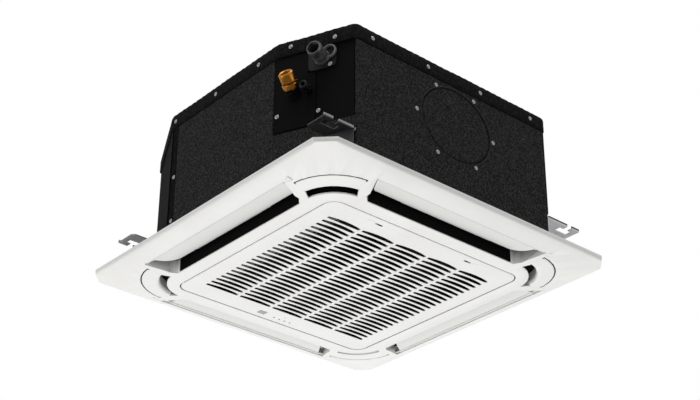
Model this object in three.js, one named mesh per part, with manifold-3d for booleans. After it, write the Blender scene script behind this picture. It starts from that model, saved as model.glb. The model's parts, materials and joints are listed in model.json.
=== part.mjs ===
// Compact four-way ceiling cassette air conditioner: hung body, coil, fan, drain parts and panel.
// Millimetres. The origin is on the ceiling plane at the centre of the unit, +Z points up.
// The piping corner is at -x -y. The intake grille opens at its front (-y) edge and hangs at the back.
import * as THREE from "three";
import { mergeVertices } from "three/addons/utils/BufferGeometryUtils.js";
import Module from "manifold-3d";

const wasm = await Module();
wasm.setup();

// ---------- driving dimensions ----------

const fit = 0.3; // gap between pieces that seat on each other
const sheet = 1.2; // steel sheet
const throughCut = 40; // length of cutters that pass right through a wall

// Panel
const panelHalf = 323.5;
const panelChamfer = 27;
const panelRim = 8; // height of the vertical rim
const outletOuterZ = -20; // surface at the air slots' outer edge
const slotContourZ = -25.4;
const innerZ = -29;
const skin = 2.5; // panel wall
const rimLand = 33.5; // from the rim in to the air slots' outer contour
const outletWidth = 50;
const flatLand = 20; // from the slots' inner contour out to the arc slots' contour
const outletOuterContour = panelHalf - rimLand;
const innerContour = outletOuterContour - outletWidth; // where the flat middle starts
const slotContour = innerContour + flatLand;
const rimPointNear = 65.5; // points on the rim, from the panel's square corner
const rimPointFar = 108.5;
const rimSideIn = 135.5; // where each contour leaves its straight side, from the same corner
const slotSideIn = 146.5;
const flatSideIn = 165.5;

// Corner arcs: centres from the panel's square corner along the diagonal, and radii
const cornerAt = panelHalf * Math.SQRT2;
const coverArcIn = 186.5;
const coverArcRadius = 89.3;
const slotArcIn = 198;
const slotArcRadius = 67;
const slotInnerIn = 205.8;
const slotInnerRadius = 61.7;
const flatArcIn = 209.5;
const flatArcRadius = 50;
const coverArcCentre = cornerAt - coverArcIn;
const slotArcCentre = cornerAt - slotArcIn;
const slotInnerCentre = cornerAt - slotInnerIn;
const flatArcCentre = cornerAt - flatArcIn;
const arcHalfAngle = 41; // degrees either side of the diagonal
const slotHalfAngle = 36.5;
const facetHalf = 14; // half width of the diagonal facet inside the rim

// Corner covers
const coverThickness = 1.8;
const coverEdgeHeight = 16; // its upturned edge, above the panel's flat middle
const coverEdgeTop = innerZ + coverEdgeHeight;
const coverSeat = 2.1; // depth of the recess that takes a corner cover
const coverGap = 0.4;
const coverEdge = 2; // upturned edge of a cover, along the arc slot
const seatThickness = 1.6;

// Air slots: half lengths from the panel's square corner
const outletInnerIn = 158.5;
const outletMidIn = 150.5;
const outletOuterIn = 133.5;
const outletMidStep = 13; // the slot's sides bend this far from its inner edge
const outletOverlap = 2.4; // the slot's outer edge past the outer contour
const outletInnerHalf = panelHalf - outletInnerIn;
const outletMidHalf = panelHalf - outletMidIn;
const outletOuterHalf = panelHalf - outletOuterIn;
const outletMidAt = innerContour + outletMidStep;
const outletOuterEdge = outletOuterContour + outletOverlap;

// Body shell
const bodyInset = 38.5; // the panel stands this far past the body
const bodyHalf = panelHalf - bodyInset; // to the face of the foam jacket
const bodyBottom = 3; // lower edge above the ceiling plane
const bodyTop = 256; // top of the sheet lid
const cornerCutX = 76; // plan legs of three corner cuts
const cornerCutY = 147;
const pipeCutX = 59; // plan legs of the piping corner cut
const pipeCutY = 138;
const jacketThickness = 5; // foam glued on the side walls
const lidSkirt = 25; // height of the lid's skirt
const topFoamThickness = 4;
const rimFoamProud = 1.5; // the band round the lid stands this far past the jacket
const rimFoamProudCorner = 4.5; // and this far past the bare corner faces
const linerThickness = 14; // moulded foam liner
const cornerRoomDepth = 75; // room in the liner behind the piping face
const cornerRoomPast = 60;

// Black foam that seals the panel to the body
const sealInset = 5; // seal wall, in from the air slots' inner edge
const sealWall = 9;
const sealDiagonalIn = 152.5; // corner faces, from the panel's square corner
const sealSheetOut = 22; // flat sheet, out from the same edge
const sealSheetDiagonalIn = 112.5;
const sealHalf = innerContour - sealInset;
const sealDiagonal = cornerAt - sealDiagonalIn;
const sealSheetHalf = innerContour + sealSheetOut;
const sealSheetDiagonal = cornerAt - sealSheetDiagonalIn;
const sealSheetBottom = -1.5;

// Duct knock-out in the front wall
const knockoutX = -6;
const knockoutDrop = 101; // centre below the lid
const knockoutZ = bodyTop - knockoutDrop;
const knockoutWidth = 156;
const knockoutHeight = 134;
const knockoutLip = 6; // the cover overlaps the wall's hole by this much
const groove = 1; // gap round the cover

// Air ducts in the drain pan, in line with the panel's air slots
const ductInner = innerContour;
const ductWallTop = 21; // from the body's face
const ductWallBottom = 11;
const ductOuterTop = bodyHalf - ductWallTop;
const ductOuterBottom = bodyHalf - ductWallBottom;
const ductPast = 2; // half lengths of a duct past the air slot's inner edge
const ductDraft = 7;
const ductCornerIn = 12; // where a duct's outer corners are cut off
const ductCornerAlong = 27;
const ductHalfBottom = outletInnerHalf + ductPast;
const ductHalfTop = ductHalfBottom - ductDraft;
const ductOuterHalf = ductHalfBottom - ductCornerAlong;

// Drain pan and coil
const panHeight = 42;
const panTop = bodyBottom + panHeight;
const panWall = 5; // between trough and duct
const panLip = 3; // between trough and the middle opening
const troughDepth = 27;
const troughFloor = panTop - troughDepth;
const troughMargin = 3.5; // trough wider than the coil on each side
const coilThickness = 26;
const coilCentre = ductInner - panWall - troughMargin - coilThickness / 2; // half side of its centre line
const coilCorner = 45; // bend radius of the coil
const coilOpen = 90.5; // the two ends stop this far from the piping corner of the centre line
const coilEnd = coilCentre - coilOpen;
const coilRoom = 30; // coil below the lid
const coilTop = bodyTop - coilRoom;
const bendRadius = 10.5; // return bends on the coil's end
const bendTube = 3.5;
const bendPitch = 35;
const bendFirst = 37; // above the trough's floor
const troughInner = coilCentre - coilThickness / 2 - troughMargin;
const troughOuter = coilCentre + coilThickness / 2 + troughMargin;
const panOpening = troughInner - panLip; // half side of the opening for intake ring and control box
const wellDepth = 31; // pump well in the pan's piping corner
const wellFloor = panTop - wellDepth;

// Fan and motor
const motorRadius = 52;
const motorLength = 68;
const motorTop = coilTop;
const motorBottom = motorTop - motorLength;
const motorPlate = 3;
const motorArmPast = 40; // feet past the motor
const motorArm = motorRadius + motorArmPast;
const armWidth = 20;
const footRadius = 11;
const hubGap = 8; // hub past the motor
const hubDrop = 11; // hub floor below the motor
const hubRadius = motorRadius + hubGap;
const hubFloor = motorBottom - hubDrop;
const hubDepth = 53;
const fanTop = hubFloor + hubDepth;
const fanRoom = 55.5; // between fan and coil
const fanRadius = coilCentre - coilThickness / 2 - fanRoom;
const fanHeight = 152;
const fanBottom = fanTop - fanHeight;
const shroudWidth = 36; // from the rim in to the mouth
const fanInlet = fanRadius - shroudWidth;
const fanWall = 2.5;
const hubShoulder = 12; // upper end of the hub's cone, past the hub's floor
const hubShoulderDrop = 16; // and below the fan's top
const hubSkirt = 34; // the flat top plate starts this far past the hub's floor
const fanBoss = 12; // radius of the boss round the shaft
const fanBossDrop = 14; // boss below the hub's floor
const shroudDepth = 26; // rim above the mouth
const shroudLip = 12; // the shroud turns outwards this far from its mouth
const shroudLipDepth = 14;
const bladeSweep = 52; // degrees from a blade's first edge to its tip
const bladeCount = 7;
const bladeThickness = 3;
const bladeDepth = 66; // from the rim in to a blade's first edge
const shaftRadius = 4;
const shaftBelow = 24; // shaft below the hub's floor
const shaftIntoFanMotor = 34;
const nutRadius = 8;
const nutHeight = 7;
const motorNose = 16; // radius of the motor's front bearing
const motorNoseStep = 5;
const motorEdge = 6; // round edge of the motor's can
const shaftPlay = 0.1; // running clearance of the turning shafts
const throatGap = 8; // intake ring inside the fan's mouth
const throatRadius = fanInlet - throatGap;
const throatReach = 4; // the ring reaches this far into the fan
const throatTop = fanBottom + throatReach;
const throatFlare = 16;
const ringHoleRadius = throatRadius + throatFlare;
const ringBevel = 16; // cut-off corners of the ring's plate and the control box's flange
const flangeX = 13; // plate and flange past the pan's opening
const flangeY = 8;

// Control box beside the intake ring
const ringLand = 16.5; // of the ring's plate, between its hole and the box
const boxPlay = 0.5;
const boxOuterX = -panOpening + boxPlay;
const boxInnerX = -ringHoleRadius - ringLand;
const boxHalfY = 150;
const boxTop = bodyBottom + 27;
const boxBottom = bodyBottom - 15;
const boardMargin = 8; // from the box's walls
const boardStandoff = 8;
const boardThickness = 1.6;
const boardFrom = 70; // ends of the board, from the box's ends
const boardTo = 10;
const terminalMargin = 14;
const terminalLength = 48;
const terminalFrom = 12;
const terminalHeight = 10;
const barrierReach = 22; // barriers below the box's top
const barrierWidth = 2;

// Piping corner, measured along the cut face from its front edge
const pipePlateFrom = 73;
const pipePlateWidth = 73;
const pipePlateTo = pipePlateFrom + pipePlateWidth;
const pipePlateDrop = 27; // upper edge below the lid
const pipePlateHeight = 141;
const pipePlateTop = bodyTop - pipePlateDrop;
const pipePlateBottom = pipePlateTop - pipePlateHeight;
const gasInset = 38; // from the plate's front edge
const gasDrop = 72; // below the plate's upper edge
const gasAt = pipePlateFrom + gasInset;
const gasHeight = pipePlateTop - gasDrop;
const liquidInset = 11;
const liquidBelowGas = 5;
const liquidAt = pipePlateFrom + liquidInset;
const liquidHeight = gasHeight - liquidBelowGas;
const gasRadius = 6.35;
const liquidRadius = 3.2;
const gasNutAcross = 27;
const liquidNutAcross = 15;
const gasTilt = 40; // degrees above horizontal
const gasFitting = 33; // length of the fitting
const liquidFitting = 22;
const drainAt = 61;
const drainDrop = 47; // below the lid
const drainHeight = bodyTop - drainDrop;
const drainRadius = 12.5;
const drainBore = 10;
const drainReach = 35;
const drainFlange = 3;
const drainFlangeWidth = 50;
const drainFlangeHeight = 42;
const drainBeadWidth = 3;
const drainBeadProud = 1.2;
const drainTail = 12; // the stub goes on this far inside the face
const headerShift = 6.5; // suction header off the coil's centre line
const headerX = -coilCentre + headerShift;
const headerRadius = 6.5;
const headerInset = 16;
const headerLength = 150;
const gasBendStep = 22; // gas pipe turns into the header this far before it
const headerTop = coilTop - headerInset;
const headerBottom = headerTop - headerLength;
const liquidEndShift = 7.5;
const liquidEndX = -coilCentre - liquidEndShift;
const liquidEndRise = 39; // above the pan
const liquidEndHeight = panTop + liquidEndRise;
const liquidBendStep = 15;
const fittingGap = 4; // liquid fitting from the face

// Drain pump and float switch in the pan's well
const pumpInX = 11; // pump's axis from the trough's inner wall, towards the middle
const pumpInY = 3.5; // and its other place, outside the coil's centre line
const pumpX = -(coilCentre - coilThickness / 2 - troughMargin - pumpInX - 1);
const pumpY = -(coilCentre + pumpInY);
const pumpHousing = 15;
const pumpFoot = 4; // above the well's floor
const pumpHeight = 22;
const pumpNozzle = 18; // nozzle above the well's floor
const pumpNeck = 7;
const pumpMotor = 19;
const pumpMotorLength = 56;
const pumpShelfRise = 41; // above the pan
const pumpShelf = panTop + pumpShelfRise;
const shelfThickness = 4.5;
const shelfReach = 36; // shelf towards the float
const shelfHalf = 20;
const shelfTab = 36;
const shelfTabHalf = 14;
const nozzleReach = 26;
const nozzleRadius = 6;
const pumpShaft = 2;
const impellerHeight = 11;
const floatStep = 24; // float from the pump's axis, both ways
const floatX = pumpX - floatStep;
const floatY = pumpY + floatStep;
const floatStem = 3;
const floatTravel = 11;
const floatHeight = 14;
const floatClip = 8;
const clipThickness = 5.2;
const hoseRadius = 6.5;
const hoseStep = 46; // hose from the pump's axis

// Hanger brackets
const hangerZ = 59;
const hangerSheet = 2;
const hangerPast = 6; // bracket past the body's face
const hangerToX = bodyHalf + hangerPast;
const hangerWidth = 46;
const hangerFromFace = 2;
const hangerToY = bodyHalf - hangerFromFace;
const hangerFromY = hangerToY - hangerWidth;
const hangerBevel = 6;
const hangerFlange = 7;
const hangerTab = 32; // height of the tab on the corner face
const rodInset = 18.5; // hanger rods from the body's faces
const rodAt = bodyHalf - rodInset;
const hangerMouthWidth = 11;
const hangerSlotHalf = 14;
const hangerSlotDepth = 12;

// Air vanes
const vanePivotIn = 3.8; // hinge line from the air slot's outer edge
const vanePivot = outletOuterEdge - vanePivotIn;
const vanePivotRise = 4.5;
const vanePivotZ = outletOuterZ + vanePivotRise;
const vaneBead = 3;
const vaneThickness = 2.2;
const vaneGap = 6.6; // free edge from the air slot's inner edge
const vaneChord = outletWidth - vaneGap;
const vaneStep = 3.4; // the blade's ends are this much narrower than its middle
const vaneEndGap = 7; // ends from the air slot's ends
const vaneTipIn = 31;
const vaneHalf = outletOuterHalf - vaneEndGap;
const vaneTipHalf = vaneHalf - vaneTipIn;
const vaneStepIn = 85;
const vaneStepHalf = vaneHalf - vaneStepIn;
const vaneRestTilt = 11; // degrees that the inner edge stands above the hinge
const vaneBow = 2.4; // depth of the blade's curve
const vaneShaft = 2;
const vaneMotorRadius = 10;
const vaneMotorLength = 10;
const vaneMotorOffset = 6.5;
const vaneMotorEar = 5;
const shaftIntoMotor = 5;

// Intake grille
const grilleInset = 28.5; // grille's edges from the air slots' inner edges
const grilleX = 2 * (innerContour - grilleInset);
const grilleY = 2 * (innerContour - grilleInset);
const grilleCorner = 22;
const grilleGap = 1.3;
const grillePlate = 2.5;
const grilleRim = 10;
const slotPitchX = 73;
const slotPitchY = 14.15;
const slotLength = 66.5;
const slotWidth = 8;
const slotArch = 2.8;
const slotMarginX = 28; // plain border of the slotted field, at least
const slotMarginY = 41.5;
const slotColumns = Math.floor((grilleX - 2 * slotMarginX) / slotPitchX);
const slotRows = Math.floor((grilleY - 2 * slotMarginY) / slotPitchY);
const slotsCentreX = 1;
const slotsCentreY = -0.5;
const hingeInset = 22; // hinge axis from the grille's back edge, where its sides are still straight
const hingeRise = 2.4; // hinge axis above the grille's face
const hingeBoss = 5; // depth of the panel's boss for a hinge pin
const hingeKnuckle = 10;
const pinRadius = 1.2;
const pinBore = 1.5;
const knuckleRadius = 2.35;
const ribThickness = 2;

// Air filter
const filterThickness = 4;
const filterLift = 3.2; // ribs hold the filter this far off the grille's plate
const filterSide = 7; // from the grille's sides
const filterFront = 28.5;
const filterBack = 34.5;
const filterHalfX = grilleX / 2 - filterSide;
const filterFrontY = -grilleY / 2 + filterFront;
const filterBackY = grilleY / 2 - filterBack;
const filterBorder = 7;
const filterBar = 1.6;
const filterBarHeight = 1.5;
const filterPitchX = 52;
const filterPitchY = 60;
const ribEnd = 3; // the ribs end this far inside the filter's frame

// Latches
const latchX = 100;
const latchInset = 16.5; // slots from the grille's front edge
const latchY = -grilleY / 2 + latchInset;
const latchSlotX = 15;
const latchSlotY = 3.4;
const latchKnobX = 7;
const latchKnobY = 2.8;
const latchBodyX = 24;
const latchBodyFront = -grilleY / 2 + ribThickness + 2 * fit;
const latchBodyDepth = 19.4;
const latchBodyBack = latchBodyFront + latchBodyDepth;
const latchThickness = 2.6;
const latchRest = -3; // knob's place in its slot at rest, towards the middle
const hookWidth = 6;
const hookThickness = 1.6;
const lugFrom = 10.5; // panel lug, from the latch's centre outwards
const lugWidth = 7;
const lugRise = 4.4; // above the grille's face
const lugBottom = innerZ + lugRise;
const lugThickness = 2;
const lugReach = 3.4;

// Display on the grille, placed from its back edge
const windowX = -34.5;
const windowWidth = 16;
const windowDepth = 13;
const windowInset = 19.2;
const displayY = grilleY / 2 - windowInset;
const lampFirstX = -4.6;
const lampPitch = 12.1;
const lampCount = 4;
const lampInset = 15.1;
const lampY = grilleY / 2 - lampInset;
const lampRadius = 1.1;
const buttonX = 12;
const buttonInset = 26.5;
const buttonY = grilleY / 2 - buttonInset;
const buttonRadius = 2;
const buttonTravel = 0.8;

// ---------- finishes ----------

const finish = (colour, roughness, metalness = 0) =>
  new THREE.MeshStandardMaterial({ color: colour, roughness, metalness });
const whitePlastic = () => finish("#e9e9e6", 0.45);
const blackPlastic = () => finish("#141414", 0.6);
const blackFoam = () => finish("#1e1e1e", 0.95);
const blackSheet = () => finish("#161616", 0.5, 0.2);
const zincSheet = () => finish("#a9acae", 0.4, 0.9);
const whiteFoam = () => finish("#dcdcd8", 0.9);
const copper = () => finish("#b4683c", 0.35, 1);
const brassMetal = () => finish("#c89a4a", 0.3, 1);
const aluminiumFin = () => finish("#b9bdc0", 0.45, 0.9);
const greyPlastic = () => finish("#5c5c5c", 0.4);
const greenBoard = () => finish("#2f5d3a", 0.6);
const rubberBlack = () => finish("#202020", 0.85);

// ---------- geometry helpers ----------

const radians = (degrees) => (degrees * Math.PI) / 180;
const unit = new THREE.Group();

// A closed mesh as a solid that can be cut and joined.
function solid(geometry) {
  const bare = geometry.clone();
  for (const name of Object.keys(bare.attributes)) {
    if (name !== "position") bare.deleteAttribute(name);
  }
  const merged = mergeVertices(bare, 1e-4);
  return new wasm.Manifold(
    new wasm.Mesh({
      numProp: 3,
      vertProperties: merged.attributes.position.array,
      triVerts: new Uint32Array(merged.index.array),
    }),
  );
}

const join = (first, ...rest) => rest.reduce((sum, s) => sum.add(s), first);
const cut = (first, ...rest) => rest.reduce((left, s) => left.subtract(s), first);

// A solid back as a three.js geometry.
function geometryOf(made) {
  const mesh = made.getMesh();
  const corners = new Float32Array(mesh.numVert * 3);
  for (let i = 0; i < mesh.numVert; i++) {
    corners.set(mesh.vertProperties.subarray(i * mesh.numProp, i * mesh.numProp + 3), i * 3);
  }
  const geometry = new THREE.BufferGeometry();
  geometry.setAttribute("position", new THREE.BufferAttribute(corners, 3));
  geometry.setIndex(new THREE.BufferAttribute(new Uint32Array(mesh.triVerts), 1));
  geometry.computeVertexNormals();
  return geometry;
}

// Adds one named piece to a group.
function piece(name, shape, material, parent = unit) {
  const geometry = shape.isBufferGeometry ? shape : geometryOf(shape);
  const mesh = new THREE.Mesh(geometry, material);
  mesh.name = name;
  parent.add(mesh);
  return mesh;
}

// A prism on the plan outline between two heights, with holes given as outlines.
function prism(outline, z0, z1, holes = []) {
  const shape = new THREE.Shape(outline.map(([x, y]) => new THREE.Vector2(x, y)));
  for (const hole of holes) {
    shape.holes.push(new THREE.Path(hole.map(([x, y]) => new THREE.Vector2(x, y))));
  }
  const geometry = new THREE.ExtrudeGeometry(shape, { depth: z1 - z0, bevelEnabled: false });
  return solid(geometry.translate(0, 0, z0));
}

function box(x0, x1, y0, y1, z0, z1) {
  const geometry = new THREE.BoxGeometry(x1 - x0, y1 - y0, z1 - z0);
  return solid(geometry.translate((x0 + x1) / 2, (y0 + y1) / 2, (z0 + z1) / 2));
}

// A cylinder whose axis runs along +Z from z0 to z1.
function rod(x, y, z0, z1, radius, sides = 16) {
  const geometry = new THREE.CylinderGeometry(radius, radius, z1 - z0, sides);
  return solid(geometry.rotateX(Math.PI / 2).translate(x, y, (z0 + z1) / 2));
}

// A cylinder whose axis runs along X from x0 to x1.
function rodX(x0, x1, y, z, radius, sides = 16) {
  const geometry = new THREE.CylinderGeometry(radius, radius, x1 - x0, sides);
  return solid(geometry.rotateZ(-Math.PI / 2).translate((x0 + x1) / 2, y, z));
}

// A profile of [radius, height] points turned about Z.
function turned(profile, sides = 36) {
  const closed = [...profile, profile[0]];
  const points = closed.map(([radius, height]) => new THREE.Vector2(radius, height));
  return solid(new THREE.LatheGeometry(points, sides).rotateX(Math.PI / 2));
}

// Rings with equal point counts, joined side by side and capped at both ends.
function lofted(rings) {
  const count = rings[0].length;
  const corners = rings.flat(2);
  const faces = [];
  for (let ring = 0; ring + 1 < rings.length; ring++) {
    for (let i = 0; i < count; i++) {
      const a = ring * count + i;
      const b = ring * count + ((i + 1) % count);
      faces.push(a, b, b + count, a, b + count, a + count);
    }
  }
  const caps = [rings[0], rings[rings.length - 1]].map((ring) =>
    THREE.ShapeUtils.triangulateShape(
      ring.map(([x, y]) => new THREE.Vector2(x, y)),
      [],
    ),
  );
  const last = (rings.length - 1) * count;
  for (const [a, b, c] of caps[0]) faces.push(c, b, a);
  for (const [a, b, c] of caps[1]) faces.push(a + last, b + last, c + last);
  const geometry = new THREE.BufferGeometry();
  geometry.setAttribute("position", new THREE.Float32BufferAttribute(corners, 3));
  geometry.setIndex(faces);
  return solid(geometry);
}

// A round bar along a smooth path through the points.
function bar(points, radius, sides = 8, steps = 14) {
  const path = new THREE.CatmullRomCurve3(points.map((p) => new THREE.Vector3(...p)));
  const section = new THREE.Shape(circle(0, 0, radius, sides).map(([x, y]) => new THREE.Vector2(x, y)));
  return solid(new THREE.ExtrudeGeometry(section, { steps, extrudePath: path, bevelEnabled: false }));
}

function circle(x, y, radius, sides = 24) {
  const at = (i) => (2 * Math.PI * i) / sides;
  return Array.from({ length: sides }, (_, i) => [
    x + radius * Math.cos(at(i)),
    y + radius * Math.sin(at(i)),
  ]);
}

function ellipse(x, y, halfX, halfY, sides = 40) {
  return circle(0, 0, 1, sides).map(([a, b]) => [x + a * halfX, y + b * halfY]);
}

// The outline run anticlockwise.
function wound(outline) {
  const area = THREE.ShapeUtils.area(outline.map(([x, y]) => ({ x, y })));
  return area < 0 ? [...outline].reverse() : outline;
}

const rectangle = (halfX, halfY) => [
  [-halfX, -halfY],
  [halfX, -halfY],
  [halfX, halfY],
  [-halfX, halfY],
];

// A rectangle with round corners.
function roundedRectangle(halfX, halfY, radius, steps = 5) {
  const points = [];
  for (const [sx, sy, start] of [[1, 1, 0], [-1, 1, 90], [-1, -1, 180], [1, -1, 270]]) {
    for (let i = 0; i <= steps; i++) {
      const angle = radians(start + (90 * i) / steps);
      points.push([
        sx * (halfX - radius) + radius * Math.cos(angle),
        sy * (halfY - radius) + radius * Math.sin(angle),
      ]);
    }
  }
  return points;
}

// An anticlockwise convex outline moved inwards, by one distance or one for each edge.
function inset(outline, distances) {
  const count = outline.length;
  const lines = outline.map(([x0, y0], i) => {
    const [x1, y1] = outline[(i + 1) % count];
    const length = Math.hypot(x1 - x0, y1 - y0);
    const normal = [-(y1 - y0) / length, (x1 - x0) / length];
    const distance = Array.isArray(distances) ? distances[i] : distances;
    return { normal, offset: normal[0] * x0 + normal[1] * y0 + distance };
  });
  return lines.map((line, i) => {
    const before = lines[(i + count - 1) % count];
    const det = before.normal[0] * line.normal[1] - before.normal[1] * line.normal[0];
    return [
      (before.offset * line.normal[1] - line.offset * before.normal[1]) / det,
      (line.offset * before.normal[0] - before.offset * line.normal[0]) / det,
    ];
  });
}

// ---------- outlines that pieces share ----------

const half = bodyHalf;
// Body outline, anticlockwise from the front face's left end: front, cut, right, cut, back, cut, left, cut.
const jacketOutline = [
  [-(half - pipeCutX), -half],
  [half - cornerCutX, -half],
  [half, -(half - cornerCutY)],
  [half, half - cornerCutY],
  [half - cornerCutX, half],
  [-(half - cornerCutX), half],
  [-half, half - cornerCutY],
  [-half, -(half - pipeCutY)],
];
// The jacket covers the four main faces; the corner cuts show the sheet.
const casingOutline = inset(jacketOutline, [0, 1, 2, 3].flatMap(() => [jacketThickness, 0]));
const casingInside = inset(casingOutline, sheet);
const linerOutline = inset(casingInside, fit);
const linerInside = inset(linerOutline, linerThickness);
const lidBottom = bodyTop - lidSkirt;
const wallTop = bodyTop - sheet - fit;

// The piping corner's cut face: a frame with its own axes along, out of and up the face.
const pipeFace = (() => {
  const [bx, by] = jacketOutline[0];
  const [ax, ay] = jacketOutline[7];
  const length = Math.hypot(ax - bx, ay - by);
  const along = [(ax - bx) / length, (ay - by) / length];
  const out = [-along[1], along[0]];
  return { x: bx, y: by, along, out, length };
})();

// The point at a place along the piping face, a height, and a distance out of the face.
function onPipeFace(at, height, out = 0) {
  return [
    pipeFace.x + pipeFace.along[0] * at + pipeFace.out[0] * out,
    pipeFace.y + pipeFace.along[1] * at + pipeFace.out[1] * out,
    height,
  ];
}

// A group whose X runs up the piping face, Y along it and Z out of it.
function pipeFaceGroup(at, height, out = 0) {
  const group = new THREE.Group();
  const basis = new THREE.Matrix4().makeBasis(
    new THREE.Vector3(0, 0, 1),
    new THREE.Vector3(...pipeFace.along, 0),
    new THREE.Vector3(...pipeFace.out, 0),
  );
  group.quaternion.setFromRotationMatrix(basis);
  group.position.set(...onPipeFace(at, height, out));
  unit.add(group);
  return group;
}

// A plan box standing on the piping face, for cutting through the walls behind it.
function pipeFaceBox(from, to, z0, z1, inside, outside) {
  const corners = [[from, -inside], [from, outside], [to, outside], [to, -inside]];
  return prism(wound(corners.map(([at, out]) => onPipeFace(at, 0, out).slice(0, 2))), z0, z1);
}

// ---------- body shell ----------

const pipeHole = {
  from: pipePlateFrom + knockoutLip,
  to: pipePlateTo - knockoutLip,
  bottom: pipePlateBottom + knockoutLip,
  top: pipePlateTop - knockoutLip,
};

function frontOval(grow, y0, y1) {
  const outline = ellipse(knockoutX, knockoutZ, knockoutWidth / 2 + grow, knockoutHeight / 2 + grow);
  const shape = new THREE.Shape(outline.map(([x, y]) => new THREE.Vector2(x, y)));
  const geometry = new THREE.ExtrudeGeometry(shape, { depth: y1 - y0, bevelEnabled: false });
  return solid(geometry.rotateX(Math.PI / 2).translate(0, y1, 0));
}

function addShell() {
  const wall = cut(
    prism(casingOutline, bodyBottom, wallTop, [casingInside]),
    frontOval(-knockoutLip, -half, -half + jacketThickness + sheet + 1),
    pipeFaceBox(pipeHole.from, pipeHole.to, pipeHole.bottom, pipeHole.top, sheet + 1, 1),
    drainBoreCutter(drainRadius + 1),
  );
  piece("casing_wall", wall, blackSheet());

  // One foam sheet on each main face, mitred to the corner cuts.
  const faces = ["front", "right", "back", "left"];
  faces.forEach((face, i) => {
    const a = 2 * i;
    const b = 2 * i + 1;
    const inner = inset(jacketOutline, [0, 1, 2, 3].flatMap(() => [jacketThickness - fit, 0]));
    let foam = prism([jacketOutline[a], jacketOutline[b], inner[b], inner[a]], bodyBottom, lidBottom - fit);
    if (face === "front") foam = cut(foam, frontOval(groove, -half - 1, -half + jacketThickness));
    piece("side_foam_" + face, foam, blackFoam());
  });

  // The lid: a plate with a skirt that drops over the walls, and its foam.
  const skirtInside = inset(casingOutline, -fit);
  const skirtOutside = inset(skirtInside, -sheet);
  const lid = join(
    prism(skirtOutside, bodyTop - sheet, bodyTop),
    prism(skirtOutside, lidBottom, bodyTop - sheet / 2, [skirtInside]),
  );
  piece("top_cover", lid, blackSheet());
  const bandInside = inset(skirtOutside, -fit);
  const bandOutside = inset(jacketOutline, [0, 1, 2, 3].flatMap(() => [-rimFoamProud, -rimFoamProudCorner]));
  piece("rim_foam", prism(bandOutside, lidBottom, bodyTop, [bandInside]), blackFoam());
  piece("top_foam", prism(bandOutside, bodyTop + fit, bodyTop + topFoamThickness), blackFoam());

  // Moulded liner between casing and coil, open at the piping corner for pump and pipes.
  const cornerRoom = pipeFaceBox(
    -cornerRoomPast, pipeFace.length + cornerRoomPast,
    panTop, bodyTop,
    cornerRoomDepth, 4 * jacketThickness,
  );
  const liner = cut(
    prism(linerOutline, panTop + fit, wallTop, [linerInside]),
    cornerRoom,
    frontOval(-knockoutLip, -half, -half + throughCut),
  );
  piece("inner_liner", liner, whiteFoam());
}

// The covers on the shell's two openings.
function addShellCovers() {
  const oval = frontOval(0, -half, -half + jacketThickness - fit);
  piece("duct_knockout", oval, blackFoam());

  const group = pipeFaceGroup(0, 0, fit);
  const outline = [
    [pipePlateBottom, pipePlateFrom],
    [pipePlateTop, pipePlateFrom],
    [pipePlateTop, pipePlateTo],
    [pipePlateBottom, pipePlateTo],
  ];
  const flangeEdge = drainAt + drainFlangeWidth / 2 + 1;
  const flangeLow = drainHeight - drainFlangeHeight / 2 - 1;
  const body = cut(
    prism(wound(outline), 0, sheet),
    rod(gasHeight, gasAt, -1, 2 * sheet, gasRadius + 4),
    rod(liquidHeight, liquidAt, -1, 2 * sheet, liquidRadius + 1.5),
    box(flangeLow, bodyTop, 0, flangeEdge, -1, 3),
  );
  piece("pipe_cover_plate", body, blackSheet(), group);
}

// Round cutter on the drain's axis, through the piping face.
function drainBoreCutter(radius) {
  const geometry = new THREE.CylinderGeometry(radius, radius, throughCut, 20);
  geometry.rotateX(Math.PI / 2);
  const group = pipeFaceGroup(drainAt, drainHeight, 0);
  unit.remove(group);
  group.updateMatrix();
  return solid(geometry.applyMatrix4(group.matrix));
}

// ---------- drain pan, coil, drain parts ----------

// The coil's plan: a band round three corners, with a margin on its sides and ends.
function coilOutline(margin) {
  const reach = coilThickness / 2 + margin;
  const end = coilEnd + margin;
  const arc = (cx, cy, radius, from, to) =>
    Array.from({ length: 7 }, (_, i) => {
      const angle = radians(from + ((to - from) * i) / 6);
      return [cx + radius * Math.cos(angle), cy + radius * Math.sin(angle)];
    });
  const centre = coilCentre - coilCorner;
  const outer = coilCorner + reach;
  const inner = coilCorner - reach;
  return [
    [-end, -(coilCentre + reach)],
    ...arc(centre, -centre, outer, -90, 0),
    ...arc(centre, centre, outer, 0, 90),
    ...arc(-centre, centre, outer, 90, 180),
    [-(coilCentre + reach), -end],
    [-(coilCentre - reach), -end],
    ...arc(-centre, centre, inner, 180, 90),
    ...arc(centre, centre, inner, 90, 0),
    ...arc(centre, -centre, inner, 0, -90),
    [-end, -(coilCentre - reach)],
  ];
}

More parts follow.
